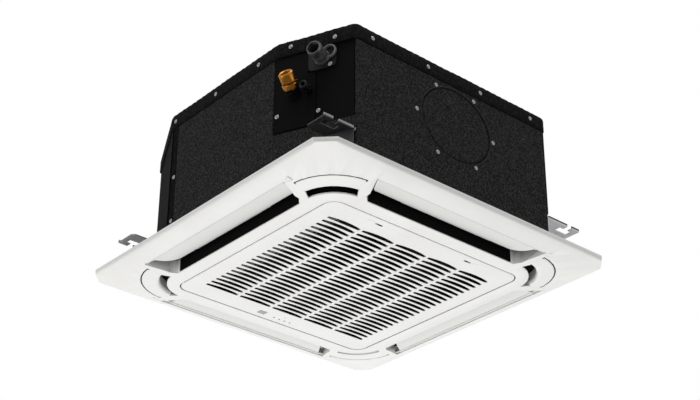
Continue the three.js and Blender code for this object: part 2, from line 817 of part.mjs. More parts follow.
function addPanAndCoil() {
  const ductRing = (k, outer, halfLength, z) => {
    const outline = [
      [-ductOuterHalf, -outer],
      [ductOuterHalf, -outer],
      [halfLength, -outer + ductCornerIn],
      [halfLength, -ductInner],
      [-halfLength, -ductInner],
      [-halfLength, -outer + ductCornerIn],
    ];
    return quarterTurn(outline, k).map(([x, y]) => [x, y, z]);
  };
  const ducts = [0, 1, 2, 3].map((k) =>
    lofted([
      ductRing(k, ductOuterBottom, ductHalfBottom, bodyBottom - 1),
      ductRing(k, ductOuterTop, ductHalfTop, panTop + 1),
    ]),
  );
  // Pump and float stand in a well that goes round the opening's piping corner.
  const wellOuter = -pumpY + pumpHousing + 1;
  const wellEnd = -pumpX - pumpHousing - 4;
  const pan = cut(
    prism(linerOutline, bodyBottom, panTop, [rectangle(panOpening, panOpening)]),
    ...ducts,
    prism(coilOutline(troughMargin), troughFloor, panTop + 1),
    box(-wellOuter, -wellEnd, -wellOuter, -troughInner, wellFloor, panTop + 1),
    box(-wellOuter, -troughInner, -wellOuter, -wellEnd, wellFloor, panTop + 1),
    box(-troughOuter, -troughInner, -wellEnd - 1, -coilEnd + 1, troughFloor, panTop + 1),
    box(-wellEnd - 1, -coilEnd + 1, -troughOuter, -troughInner, troughFloor, panTop + 1),
  );
  piece("drain_pan", pan, whiteFoam());

  piece("evaporator_coil", prism(coilOutline(0), troughFloor + fit, coilTop), aluminiumFin());

  // Sheet plates on the coil's ends, one with the return bends, one with the pipe joints.
  const plateHalf = coilThickness / 2;
  const plateFront = box(
    -coilEnd - fit - sheet, -coilEnd - fit,
    -coilCentre - plateHalf, -coilCentre + plateHalf,
    troughFloor + fit, coilTop,
  );
  const bendCount = Math.floor((coilTop - troughFloor - bendFirst) / bendPitch) + 1;
  const bends = Array.from({ length: bendCount }, (_, i) => {
    const bend = new THREE.TorusGeometry(bendRadius, bendTube, 6, 10).rotateY(Math.PI / 2);
    const height = troughFloor + bendFirst + i * bendPitch;
    return solid(bend.translate(-coilEnd - fit - sheet / 2, -coilCentre, height));
  });
  const keep = box(
    -coilEnd - throughCut, -coilEnd - fit, -coilCentre - throughCut, -coilCentre + throughCut, 0, bodyTop,
  );
  const frontBends = join(plateFront, ...bends.map((bend) => bend.intersect(keep)));
  piece("coil_end_plate_front", frontBends, zincSheet());
  piece(
    "coil_end_plate_left",
    box(
      -coilCentre - plateHalf, -coilCentre + plateHalf,
      -coilEnd - fit - sheet, -coilEnd - fit,
      troughFloor + fit, coilTop,
    ),
    zincSheet(),
  );
}

// ---------- fan, motor, intake ring ----------

function addFan() {
  const shroud = turned([
    [fanInlet, fanBottom],
    [fanInlet + fanWall, fanBottom],
    [fanInlet + shroudLip, fanBottom + shroudLipDepth],
    [fanRadius, fanBottom + shroudDepth],
    [fanRadius, fanBottom + shroudDepth + fanWall],
    [fanInlet + shroudLip - 1.6 * fanWall, fanBottom + shroudLipDepth + 0.4 * fanWall],
  ]);
  const bossBottom = hubFloor - fanBossDrop;
  const hub = turned([
    [shaftRadius, bossBottom],
    [fanBoss, bossBottom],
    [fanBoss, hubFloor - fanWall],
    [hubRadius, hubFloor],
    [hubRadius + hubShoulder, fanTop - hubShoulderDrop],
    [hubRadius + hubSkirt, fanTop - fanWall],
    [fanRadius, fanTop - fanWall],
    [fanRadius, fanTop],
    [hubRadius + hubSkirt - 0.8 * fanWall, fanTop],
    [hubRadius + hubShoulder - 1.3 * fanWall, fanTop - hubShoulderDrop + 0.4 * fanWall],
    [hubRadius - fanWall, hubFloor + fanWall],
    [shaftRadius, hubFloor + fanWall],
  ]);
  // Backward-curved blades, from the shroud's mouth to the rim.
  const start = fanRadius - bladeDepth;
  const steps = 6;
  const blade = (turn) => {
    const centre = Array.from({ length: steps + 1 }, (_, i) => {
      const radius = start + ((fanRadius - 1.5 - start) * i) / steps;
      const angle = turn - radians(bladeSweep) * Math.pow(i / steps, 1.15);
      return [radius, angle];
    });
    const side = (sign) =>
      centre.map(([radius, angle]) => {
        const shift = (sign * bladeThickness) / 2 / radius;
        return [radius * Math.cos(angle + shift), radius * Math.sin(angle + shift)];
      });
    const outline = [...side(-1), ...side(1).reverse()];
    return prism(outline, fanBottom, fanTop);
  };
  // The space between shroud and hub, with the slanted line of the blades' lower edges.
  const inWall = 0.4 * fanWall;
  const envelope = turned([
    [0.01, hubFloor - 4 * fanWall],
    [hubRadius - inWall, hubFloor - 4 * fanWall],
    [fanRadius - bladeDepth - 4 * fanWall, fanBottom + shroudDepth - 1.6 * fanWall],
    [fanInlet + 0.8 * fanWall, fanBottom + shroudLipDepth - 2.4 * fanWall],
    [fanInlet + shroudLip - fanWall, fanBottom + shroudLipDepth + inWall],
    [fanRadius - inWall / 2, fanBottom + shroudDepth + fanWall / 2],
    [fanRadius - inWall / 2, fanTop - inWall],
    [hubRadius + hubSkirt - inWall, fanTop - inWall],
    [hubRadius + hubShoulder - 0.8 * fanWall, fanTop - hubShoulderDrop + inWall],
    [hubRadius - inWall, hubFloor + inWall],
    [0.01, hubFloor + inWall],
  ]);
  const blades = Array.from({ length: bladeCount }, (_, i) =>
    blade((2 * Math.PI * i) / bladeCount).intersect(envelope),
  );
  const wheel = join(shroud, hub, ...blades);
  const bore = rod(0, 0, bossBottom - 1, hubFloor + 2 * fanWall, shaftRadius + 1.5 * shaftPlay, 20);
  piece("fan_wheel", cut(wheel, bore), blackPlastic());

  const shaftTop = motorBottom + shaftIntoFanMotor;
  piece("fan_shaft", rod(0, 0, hubFloor - shaftBelow, shaftTop, shaftRadius, 20), zincSheet());
  const nut = cut(
    rod(0, 0, bossBottom - fit - nutHeight, bossBottom - fit, nutRadius, 6),
    rod(0, 0, bossBottom - throughCut, bossBottom + 1, shaftRadius + fit, 16),
  );
  piece("fan_nut", nut, zincSheet());

  const motor = cut(
    turned([
      [0.01, motorBottom],
      [motorNose, motorBottom],
      [motorNose, motorBottom + motorNoseStep],
      [motorRadius - motorEdge, motorBottom + motorNoseStep],
      [motorRadius, motorBottom + motorNoseStep + motorEdge],
      [motorRadius, motorTop - motorEdge],
      [motorRadius - motorEdge, motorTop],
      [0.01, motorTop],
    ], 28),
    rod(0, 0, motorBottom - 1, shaftTop + 2, shaftRadius + shaftPlay, 20),
  );
  piece("fan_motor", motor, zincSheet());

  // Three arms reach out from the motor's back to feet that stand off the lid.
  const plateBottom = motorTop + fit;
  const plateTop = plateBottom + motorPlate;
  const arm = box(0, motorArm, -armWidth / 2, armWidth / 2, plateBottom, plateTop);
  const foot = rod(motorArm, 0, plateBottom, wallTop, footRadius, 16);
  const limbs = [90, 210, 330].map((turn) => join(arm, foot).rotate([0, 0, turn]));
  piece("motor_bracket", join(rod(0, 0, plateBottom, plateTop, motorRadius - 8, 24), ...limbs), zincSheet());
}

function addIntakeRing() {
  const plateTop = bodyBottom - fit;
  const plateBottom = plateTop - 2;
  const edgeX = panOpening + flangeX;
  const edgeY = panOpening + flangeY;
  const outline = [
    [boxInnerX + fit, -edgeY],
    [edgeX - ringBevel, -edgeY],
    [edgeX, -edgeY + ringBevel],
    [edgeX, edgeY - ringBevel],
    [edgeX - ringBevel, edgeY],
    [boxInnerX + fit, edgeY],
  ];
  const plate = prism(outline, plateBottom, plateTop, [circle(0, 0, ringHoleRadius, 36)]);
  const throat = turned([
    [ringHoleRadius - 1, plateBottom],
    [ringHoleRadius + 1, plateBottom],
    [ringHoleRadius + 1, plateTop],
    [throatRadius + 6, plateTop + throatFlare],
    [throatRadius + 2, throatTop],
    [throatRadius, throatTop],
    [throatRadius + 4, plateTop + 14],
  ]);
  piece("intake_ring", join(plate, throat), blackPlastic());
}

// ---------- control box ----------

function addControlBox() {
  const outerX = boxOuterX;
  const edgeX = -panOpening - flangeX;
  const edgeY = panOpening + flangeY;
  const plateTop = bodyBottom - fit;
  const flange = [
    [edgeX + ringBevel, -edgeY],
    [boxInnerX, -edgeY],
    [boxInnerX, edgeY],
    [edgeX + ringBevel, edgeY],
    [edgeX, edgeY - ringBevel],
    [edgeX, -edgeY + ringBevel],
  ];
  const shell = cut(
    join(
      box(outerX, boxInnerX, -boxHalfY, boxHalfY, boxBottom, boxTop),
      prism(flange, plateTop - sheet, plateTop),
    ),
    box(
      outerX + sheet, boxInnerX - sheet,
      -boxHalfY + sheet, boxHalfY - sheet,
      boxBottom - 1, boxTop - sheet,
    ),
  );
  piece("control_box", shell, zincSheet());
  const lid = box(outerX, boxInnerX, -boxHalfY, boxHalfY, boxBottom - fit - sheet, boxBottom - fit);
  piece("control_box_lid", lid, zincSheet());

  // Board on four posts, with its transformer, relays, capacitor and connectors.
  const board = {
    x0: outerX + boardMargin,
    x1: boxInnerX - boardMargin,
    y0: -boxHalfY + boardFrom,
    y1: boxHalfY - boardTo,
    z: boxTop - sheet - boardStandoff,
  };
  const wide = board.x1 - board.x0;
  const long = board.y1 - board.y0;
  // Each part as shares of the board's width and length, and a height in shares of its width.
  const parts = [
    [0.23, 0.54, 0.09, 0.23, 0.36],
    [0.54, 0.82, 0.27, 0.35, 0.27],
    [0.09, 0.41, 0.3, 0.38, 0.32],
    [0.18, 0.45, 0.45, 0.51, 0.41],
    [0.54, 0.91, 0.44, 0.64, 0.18],
    [0.05, 0.32, 0.59, 0.73, 0.16],
    [0.5, 0.86, 0.73, 0.86, 0.23],
  ];
  const plateLow = board.z - boardThickness;
  const plate = box(board.x0, board.x1, board.y0, board.y1, plateLow, board.z);
  const blocks = parts.map(([x0, x1, y0, y1, tall]) =>
    box(
      board.x0 + x0 * wide, board.x0 + x1 * wide,
      board.y0 + y0 * long, board.y0 + y1 * long,
      plateLow - tall * wide, board.z - boardThickness / 2,
    ),
  );
  const edge = boardMargin / 2;
  const posts = [
    [board.x0 + edge, board.y0 + edge],
    [board.x1 - edge, board.y0 + edge],
    [board.x0 + edge, board.y1 - edge],
    [board.x1 - edge, board.y1 - edge],
  ].map(([x, y]) => rod(x, y, board.z - boardThickness / 2, boxTop - sheet - fit, 2.5, 8));
  piece("circuit_board", join(plate, ...blocks, ...posts), greenBoard());
  addTerminalBlock();
}

// A base with a row of barriers, fixed under the box's top.
function addTerminalBlock() {
  const x0 = boxOuterX + terminalMargin;
  const x1 = boxInnerX - terminalMargin;
  const y0 = -boxHalfY + terminalFrom;
  const y1 = y0 + terminalLength;
  const top = boxTop - sheet - fit;
  const barriers = Array.from({ length: 6 }, (_, i) => {
    const y = y0 + ((terminalLength - barrierWidth) * i) / 5;
    return box(x0, x1, y, y + barrierWidth, top - barrierReach, top - terminalHeight / 2);
  });
  const base = box(x0, x1, y0, y1, top - terminalHeight, top);
  piece("terminal_block", join(base, ...barriers), blackPlastic());
}

// ---------- piping corner ----------

// A flare fitting on +Z: neck, collar, hexagon and a mouth, in shares of its hexagon's width.
function flareFitting(across, bore, length) {
  const radius = across / 2 / Math.cos(Math.PI / 6);
  const neck = rod(0, 0, 0, length * 0.6, across * 0.33, 20);
  const collar = rod(0, 0, length * 0.24, length * 0.42, across * 0.4, 20);
  const nut = rod(0, 0, length * 0.48, length * 0.86, radius, 6);
  const mouth = rod(0, 0, length * 0.8, length, across * 0.38, 20);
  return cut(join(neck, collar, nut, mouth), rod(0, 0, -1, length + 1, bore, 16));
}

function addPiping() {
  const plateFace = -coilEnd - 2 * fit - sheet; // outer side of the coil's end plate
  addGasLine(plateFace);
  addLiquidLine(plateFace);
  addDrainSocket();
}

function addGasLine(plateFace) {
  const start = gasRadius; // the tilted end starts this far outside the face
  const tilt = radians(gasTilt);
  const beyond = (run) => onPipeFace(gasAt, gasHeight + run * Math.sin(tilt), start + run * Math.cos(tilt));
  const height = gasHeight - gasRadius / 2;
  const path = [
    beyond(9),
    beyond(5),
    beyond(1),
    onPipeFace(gasAt, height, -gasRadius),
    onPipeFace(gasAt, height, -4 * gasRadius),
    [headerX - gasBendStep / 5, plateFace - gasBendStep, height],
    [headerX, plateFace - gasBendStep / 3, height],
    [headerX, plateFace, height],
  ];
  const header = rod(headerX, plateFace - headerRadius - 2, headerBottom, headerTop, headerRadius, 10);
  piece("gas_pipe", join(bar(path, gasRadius, 8, 18), header), copper());
  const group = pipeFaceGroup(gasAt, gasHeight);
  group.position.set(...beyond(1));
  group.rotateY(tilt);
  piece("gas_flare_union", flareFitting(gasNutAcross, gasRadius + 2 * fit, gasFitting), brassMetal(), group);
}

function addLiquidLine(plateFace) {
  const step = liquidBendStep;
  const inside = onPipeFace(liquidAt, liquidHeight, -1.6 * step);
  const path = [
    onPipeFace(liquidAt, liquidHeight, 0.6 * step),
    onPipeFace(liquidAt, liquidHeight, 0.2 * step),
    onPipeFace(liquidAt, liquidHeight, -0.5 * step),
    [inside[0], inside[1], liquidHeight - 0.9 * step],
    [inside[0] + 2, inside[1] + 0.7 * step, liquidHeight - 3 * step],
    [liquidEndX - 3, plateFace - 2 * step, liquidEndHeight + 4],
    [liquidEndX, plateFace - 0.6 * step, liquidEndHeight],
    [liquidEndX, plateFace, liquidEndHeight],
  ];
  piece("liquid_pipe", bar(path, liquidRadius, 8, 20), copper());
  const group = pipeFaceGroup(liquidAt, liquidHeight, fittingGap);
  const fitting = flareFitting(liquidNutAcross, liquidRadius + 2 * fit, liquidFitting);
  piece("liquid_flare_union", fitting, brassMetal(), group);
}

// Drain socket: flange on the face and a stub that the drain hose slides over.
function addDrainSocket() {
  const group = pipeFaceGroup(drainAt, drainHeight, fit);
  const flange = prism(roundedRectangle(drainFlangeHeight / 2, drainFlangeWidth / 2, 4, 3), 0, drainFlange);
  const stub = rod(0, 0, -drainTail, drainReach, drainRadius, 20);
  const beadTop = drainReach - drainBeadWidth;
  const bead = rod(0, 0, beadTop - drainBeadWidth, beadTop, drainRadius + drainBeadProud, 20);
  const bore = rod(0, 0, -drainTail - 1, drainReach + 1, drainBore, 20);
  piece("drain_socket", cut(join(flange, stub, bead), bore), greyPlastic(), group);
}

function addPump() {
  const x = pumpX;
  const y = pumpY;
  const low = wellFloor + pumpFoot;
  const top = low + pumpHeight;
  const nozzleZ = wellFloor + pumpNozzle;
  const reach = (share) => x - nozzleReach * share;
  const nozzle = [
    [x, y, nozzleZ],
    [reach(0.4), y - nozzleRadius / 3, nozzleZ],
    [reach(0.7), y - (2 * nozzleRadius) / 3, nozzleZ],
    [reach(1), y - (2 * nozzleRadius) / 3, nozzleZ],
  ];
  const bore = nozzle.map(([a, b, c], i) => [i === 3 ? a - 2 : a, b, c]);
  const wallY = casingInside[0][1] + fit;
  const shelfTop = pumpShelf + shelfThickness;
  const motorLow = pumpShelf + shelfThickness / 2;
  const pump = cut(
    join(
      rod(x, y, low, top, pumpHousing, 18),
      rod(x, y, top - pumpNeck, shelfTop, pumpNeck, 12),
      rod(x, y, motorLow, motorLow + pumpMotorLength, pumpMotor, 20),
      box(x - shelfReach, x + shelfHalf, y - shelfHalf - 2, y + shelfHalf - 2, pumpShelf, shelfTop),
      box(x - shelfTabHalf, x + shelfTabHalf, wallY, y, pumpShelf, shelfTop),
      box(x - shelfTabHalf, x + shelfTabHalf, wallY, wallY + drainFlange, pumpShelf, pumpShelf + shelfTab),
      bar(nozzle, nozzleRadius, 8, 6),
    ),
    rod(x, y, wellFloor, top - 4, pumpHousing - 2, 18),
    rod(x, y, wellFloor, motorLow + pumpMotorLength - 14, pumpShaft + 2 * shaftPlay, 10),
    bar(bore, nozzleRadius - 2, 8, 6),
  );
  piece("drain_pump", pump, blackPlastic());
  const wing = new THREE.BoxGeometry(2 * (pumpHousing - 4), 2, impellerHeight);
  const wings = [0, 90].map((turn) =>
    solid(wing.clone().rotateZ(radians(turn)).translate(x, y, low + impellerHeight / 2 + 3.5)),
  );
  const shaft = rod(x, y, low + 3, motorLow + pumpMotorLength - 18, pumpShaft, 10);
  piece("pump_impeller", join(shaft, ...wings), whitePlastic());
  addFloat(shelfTop);
  addDrainHose(nozzle[3]);
}

// Float switch: a stem with a ring that rises with the water.
function addFloat(shelfTop) {
  const low = wellFloor + floatStem;
  const flangeTop = low + floatStem;
  const ringLow = flangeTop + fit;
  const ringTop = ringLow + floatHeight - fit;
  const stop = ringTop + floatTravel + 1;
  const clipLow = shelfTop + fit;
  const stem = join(
    rod(floatX, floatY, low, clipLow + 1, floatStem, 12),
    rod(floatX, floatY, low, flangeTop, 2 * floatStem, 12),
    rod(floatX, floatY, stop, stop + floatStem + 1, 2 * floatStem, 12),
    box(
      floatX - floatClip, floatX + floatClip,
      floatY - floatClip, floatY + floatClip,
      clipLow, clipLow + clipThickness,
    ),
  );
  piece("float_switch_stem", stem, blackPlastic());
  const ring = cut(
    rod(floatX, floatY, ringLow, ringTop, 3 * floatStem, 16),
    rod(floatX, floatY, low, ringTop + floatTravel, floatStem + fit, 12),
  );
  piece("float_ring", ring, whitePlastic());
}

// Hose from the pump's nozzle up to the drain socket.
function addDrainHose([x, y, z]) {
  const r = hoseRadius;
  const upX = pumpX - hoseStep;
  const tail = -drainTail - fit;
  const points = [
    [x - fit, y, z],
    [x - r / 2, y, z],
    [x - r, y, z + r / 6],
    [x - 2 * r + 1, y, z + 1.5 * r],
    [x - 3 * r + 3.5, y, z + 4.3 * r],
    [upX, y, pumpShelf + 2 * r],
    [upX, y + 1, drainHeight - 7.5 * r],
    onPipeFace(drainAt, drainHeight - 3 * r, tail - 2.5 * r),
    onPipeFace(drainAt, drainHeight - 0.8 * r, tail - 2.15 * r),
    onPipeFace(drainAt, drainHeight, tail - r),
    onPipeFace(drainAt, drainHeight, tail),
  ];
  piece("drain_hose", bar(points, r, 8, 30), rubberBlack());
}

// ---------- hanger brackets ----------

// A bracket for one corner: a tab flat on the corner face and a slotted plate with an upturned edge.
function hangerSolid([[ax, ay], [bx, by]]) {
  const length = Math.hypot(bx - ax, by - ay);
  const out = [(by - ay) / length, -(bx - ax) / length];
  const offset = out[0] * ax + out[1] * ay + fit;
  const [sx, sy] = out.map(Math.sign);
  // Distance from the Y axis, at a distance from the X axis, of a line just off the face.
  const faceX = (y) => (offset - Math.abs(out[1]) * y) / Math.abs(out[0]);
  const plan = (outline) => wound(outline.map(([x, y]) => [sx * x, sy * y]));
  const block = (x0, x1, y0, y1, z0, z1) => prism(plan([[x0, y0], [x1, y0], [x1, y1], [x0, y1]]), z0, z1);
  const top = hangerZ + hangerSheet;
  const flangeY = hangerToY - hangerSheet;
  const outline = [
    [faceX(hangerToY), hangerToY],
    [hangerToX, hangerToY],
    [hangerToX, hangerFromY + hangerBevel],
    [hangerToX - hangerBevel, hangerFromY],
    [faceX(hangerFromY), hangerFromY],
  ];
  const push = ([x, y]) => [x + Math.abs(out[0]) * hangerSheet, y + Math.abs(out[1]) * hangerSheet];
  const low = [faceX(hangerFromY), hangerFromY];
  const high = [faceX(flangeY), flangeY];
  const mouth = hangerMouthWidth / 2;
  const slotY = rodAt - hangerSlotDepth / 2;
  return cut(
    join(
      prism(plan(outline), hangerZ, top),
      block(faceX(flangeY) + hangerSheet, hangerToX, flangeY, hangerToY, hangerZ, top + hangerFlange),
      prism(plan([low, push(low), push(high), high]), hangerZ - hangerTab, top),
    ),
    block(
      rodAt - hangerSlotHalf, rodAt + hangerSlotHalf,
      slotY, slotY + hangerSlotDepth,
      hangerZ - 1, top + 1,
    ),
    block(rodAt - mouth, rodAt + mouth, slotY, hangerToY + 1, hangerZ - 1, top + hangerFlange + 1),
  );
}

function addHangers() {
  const names = ["front_right", "back_right", "back_left", "front_left"];
  names.forEach((name, i) => {
    const face = [casingOutline[2 * i + 1], casingOutline[(2 * i + 2) % 8]];
    piece("hanger_" + name, hangerSolid(face), zincSheet());
  });
}

// ---------- panel ----------

// One contour of the panel: for each corner an outlet side point, the corner's points, a side point.
function panelRing(cornerPoints, sideAt, sideAlong, z) {
  const quadrant = [[sideAt, sideAlong], ...cornerPoints, [sideAlong, sideAt]];
  const ring = [];
  for (let k = 0; k < 4; k++) {
    for (const [x, y] of quadrant) {
      const turned = [[x, y], [-y, x], [-x, -y], [y, -x]][k];
      ring.push([...turned, z]);
    }
  }
  return ring;
}

// Six points on a corner arc, two of them on the edges of the diagonal facet.
function arcPoints(centre, radius, halfFacet) {
  const facet = (Math.asin(halfFacet / radius) * 180) / Math.PI;
  const middle = (arcHalfAngle + facet) / 2;
  return [-arcHalfAngle, -middle, -facet, facet, middle, arcHalfAngle].map((degrees) => {
    const u = centre + radius * Math.cos(radians(degrees));
    const v = radius * Math.sin(radians(degrees));
    return [(u - v) / Math.SQRT2, (u + v) / Math.SQRT2];
  });
}

// The panel's outer form, moved in and up: the difference of two makes a wall.
function panelForm(inwards, up, top) {
  const rim = panelHalf - inwards;
  const chamfer = panelChamfer - inwards * 0.6;
  const near = panelHalf - rimPointNear;
  const far = panelHalf - rimPointFar;
  const rimPoints = [
    [rim, far],
    [rim, near],
    [rim, rim - chamfer],
    [rim - chamfer, rim],
    [near, rim],
    [far, rim],
  ];
  const contour = (centre, radius, at, sideIn, z) =>
    panelRing(
      arcPoints(centre, radius - inwards / 2, facetHalf),
      at - inwards / 2,
      panelHalf - sideIn,
      z + up,
    );
  return lofted([
    contour(flatArcCentre, flatArcRadius, innerContour, flatSideIn, innerZ),
    contour(slotArcCentre, slotArcRadius, slotContour, slotSideIn, slotContourZ),
    contour(coverArcCentre, coverArcRadius, outletOuterContour, rimSideIn, outletOuterZ),
    panelRing(rimPoints, rim, panelHalf - rimSideIn, -panelRim + up),
    panelRing(rimPoints, rim, panelHalf - rimSideIn, top),
  ]);
}

const outletOutline = [
  [-outletInnerHalf, -innerContour],
  [-outletMidHalf, -outletMidAt],
  [-outletOuterHalf, -outletOuterEdge],
  [outletOuterHalf, -outletOuterEdge],
  [outletMidHalf, -outletMidAt],
  [outletInnerHalf, -innerContour],
];

const quarterTurn = (outline, k) =>
  outline.map(([x, y]) => [[x, y], [-y, x], [-x, -y], [y, -x]][k]);

// Plan outline of a band between two corner arcs, for the corner at +x +y.
function arcBand(outer, inner, outerHalf, innerHalf) {
  const arc = ([centre, radius], halfAngle, reverse) => {
    const steps = 8;
    const points = Array.from({ length: steps + 1 }, (_, i) => {
      const angle = radians(-halfAngle + (2 * halfAngle * i) / steps);
      const u = centre + radius * Math.cos(angle);
      const v = radius * Math.sin(angle);
      return [(u - v) / Math.SQRT2, (u + v) / Math.SQRT2];
    });
    return reverse ? points.reverse() : points;
  };
  return [...arc(outer, outerHalf, false), ...arc(inner, innerHalf, true)];
}

const coverBand = (gap) =>
  arcBand(
    [coverArcCentre, coverArcRadius - gap],
    [slotArcCentre, slotArcRadius + (gap > 0 ? 0 : gap)],
    arcHalfAngle - (gap > 0 ? 0.4 : 0),
    slotHalfAngle - (gap > 0 ? 0.4 : 0),
  );
const seatBand = arcBand(
  [coverArcCentre, coverArcRadius + 3],
  [slotArcCentre, slotArcRadius + 4],
  arcHalfAngle + 1,
  slotHalfAngle + 2,
);
const slotBand = arcBand(
  [slotArcCentre, slotArcRadius + coverEdge + 2 * fit],
  [slotInnerCentre, slotInnerRadius],
  slotHalfAngle,
  slotHalfAngle + 2,
);
const outletWalls = [
  [-outletInnerHalf - skin, -innerContour + 2],
  [-outletMidHalf - skin, -outletMidAt],
  [-outletOuterHalf - skin, -outletOuterEdge - skin],
  [outletOuterHalf + skin, -outletOuterEdge - skin],
  [outletMidHalf + skin, -outletMidAt],
  [outletInnerHalf + skin, -innerContour + 2],
];

const vaneMotorX = outletOuterHalf + skin + fit;
const hingeAxisY = grilleY / 2 - hingeInset;
const hingeAxisZ = innerZ + hingeRise;
const openingX = grilleX / 2 + grilleGap;
const openingY = grilleY / 2 + grilleGap;

function addPanel() {
  const deep = innerZ - 10;
  const wallTopZ = -2;
  const openingRadius = grilleCorner + grilleGap;
  const opening = roundedRectangle(openingX, openingY, openingRadius);
  const openingWall = roundedRectangle(openingX + skin, openingY + skin, openingRadius + skin);
  const walls = [prism(openingWall, deep, wallTopZ - 6)];
  const holes = [prism(opening, deep, 5)];
  const recesses = [];
  const afterRecess = panelForm(0, coverSeat, 1);
  const afterSeat = panelForm(0, coverSeat + seatThickness, 1);
  for (let k = 0; k < 4; k++) {
    walls.push(prism(quarterTurn(outletWalls, k), deep, wallTopZ));
    walls.push(cut(prism(quarterTurn(seatBand, k), deep, 5), afterSeat));
    holes.push(prism(quarterTurn(outletOutline, k), deep, 5));
    holes.push(prism(quarterTurn(slotBand, k), deep, 5));
    recesses.push(cut(prism(quarterTurn(coverBand(0), k), deep, 5), afterRecess));
  }
  const hollow = cut(panelForm(skin, skin, 1), ...walls, ...hingeBosses(), ...latchLugs());
  const cutters = [...recesses, ...cutAround(holes), ...vaneCutters(), ...hingeBores()];
  piece("panel_frame", cut(panelForm(0, 0, 0), hollow, ...cutters), whitePlastic());
}

// The latch lugs stand in the grille's opening, so the opening's cutter leaves them.
function cutAround(holes) {
  return [cut(holes[0], ...latchLugs()), ...holes.slice(1)];
}

// Room in the panel for the vane shafts and their motors.
function vaneCutters() {
  const cutters = [];
  for (let k = 0; k < 4; k++) {
    const reach = vaneMotorX + shaftIntoMotor;
    const shaft = rodX(-reach, reach, -vanePivot, vanePivotZ, vaneShaft + shaftPlay, 12);
    const motor = rodX(
      vaneMotorX - fit, vaneMotorX + vaneMotorLength + fit,
      -vanePivot, vanePivotZ + vaneMotorOffset, vaneMotorRadius + fit, 20,
    );
    cutters.push(join(shaft, motor).rotate([0, 0, 90 * k]));
  }
  return cutters;
}

// Blocks in the panel's opening wall that take the grille's hinge pins.
function hingeBosses() {
  return [-1, 1].map((side) => {
    const ends = [side * (openingX - 1), side * (openingX + hingeBoss)].sort((a, b) => a - b);
    return rodX(ends[0], ends[1], hingeAxisY, hingeAxisZ, pinBore + 2, 14);
  });
}

function hingeBores() {
  return [-1, 1].map((side) => {
    const ends = [side * (openingX - 3), side * (openingX + hingeBoss - 1)].sort((a, b) => a - b);
    return rodX(ends[0], ends[1], hingeAxisY, hingeAxisZ, pinBore, 14);
  });
}

// Lugs on the panel that the latches slide over.
function latchLugs() {
  return [-1, 1].map((side) => {
    const from = side * (latchX + lugFrom);
    const to = side * (latchX + lugFrom + lugWidth);
    return box(
      Math.min(from, to), Math.max(from, to),
      -openingY - skin / 2, -openingY + lugReach,
      lugBottom, lugBottom + lugThickness,
    );
  });
}

function addCornerCovers() {
  const names = ["back_right", "back_left", "front_left", "front_right"];
  const band = prism(coverBand(coverGap), innerZ - 10, 5);
  const form = panelForm(0, 0, 0);
  const under = cut(prism(rectangle(panelHalf + 1, panelHalf + 1), innerZ - 20, -panelRim), form);
  const plate = cut(band.intersect(form), panelForm(0, coverThickness, 1));
  // The edge along the arc slot turns up as a wall.
  const edge = arcBand(
    [slotArcCentre, slotArcRadius + coverEdge],
    [slotArcCentre, slotArcRadius],
    slotHalfAngle - 0.4,
    slotHalfAngle - 0.4,
  );
  const wall = cut(prism(edge, innerZ - 10, coverEdgeTop), under);
  const cover = join(plate, wall);
  names.forEach((name, k) => {
    const group = new THREE.Group();
    group.rotation.z = (k * Math.PI) / 2;
    unit.add(group);
    piece("corner_cover_" + name, cover, whitePlastic(), group);
  });
}

// Black foam that closes the gap between panel and body and lines the ducts.
function addDuctSeal() {
  const octagon = (side, diagonal) => {
    const other = diagonal * Math.SQRT2 - side;
    return [
      [-other, -side], [other, -side], [side, -other], [side, other],
      [other, side], [-other, side], [-side, other], [-side, -other],
    ];
  };
  const outer = octagon(sealHalf, sealDiagonal);
  const inner = inset(outer, sealWall);
  const wall = prism(outer, innerZ, bodyBottom - fit, [inner]);
  const sheetOuter = octagon(sealSheetHalf, sealSheetDiagonal);
  const notchOuter = outletOuterHalf - 3;
  const notchInner = outletInnerHalf + 7;
  const notch = [
    [-notchOuter, -outletOuterEdge - 8],
    [notchOuter, -outletOuterEdge - 8],
    [notchInner, -sealHalf],
    [-notchInner, -sealHalf],
  ];
  const notches = [0, 1, 2, 3].map((k) =>
    prism(quarterTurn(notch, k), sealSheetBottom - 1, bodyBottom + 1),
  );
  const flat = cut(prism(sheetOuter, sealSheetBottom, bodyBottom - fit, [inner]), ...notches);
  const room = panelForm(skin + fit, skin + fit, bodyBottom + 1);
  piece("duct_seal", join(wall, flat).intersect(room), blackFoam());
}

// ---------- air vanes ----------

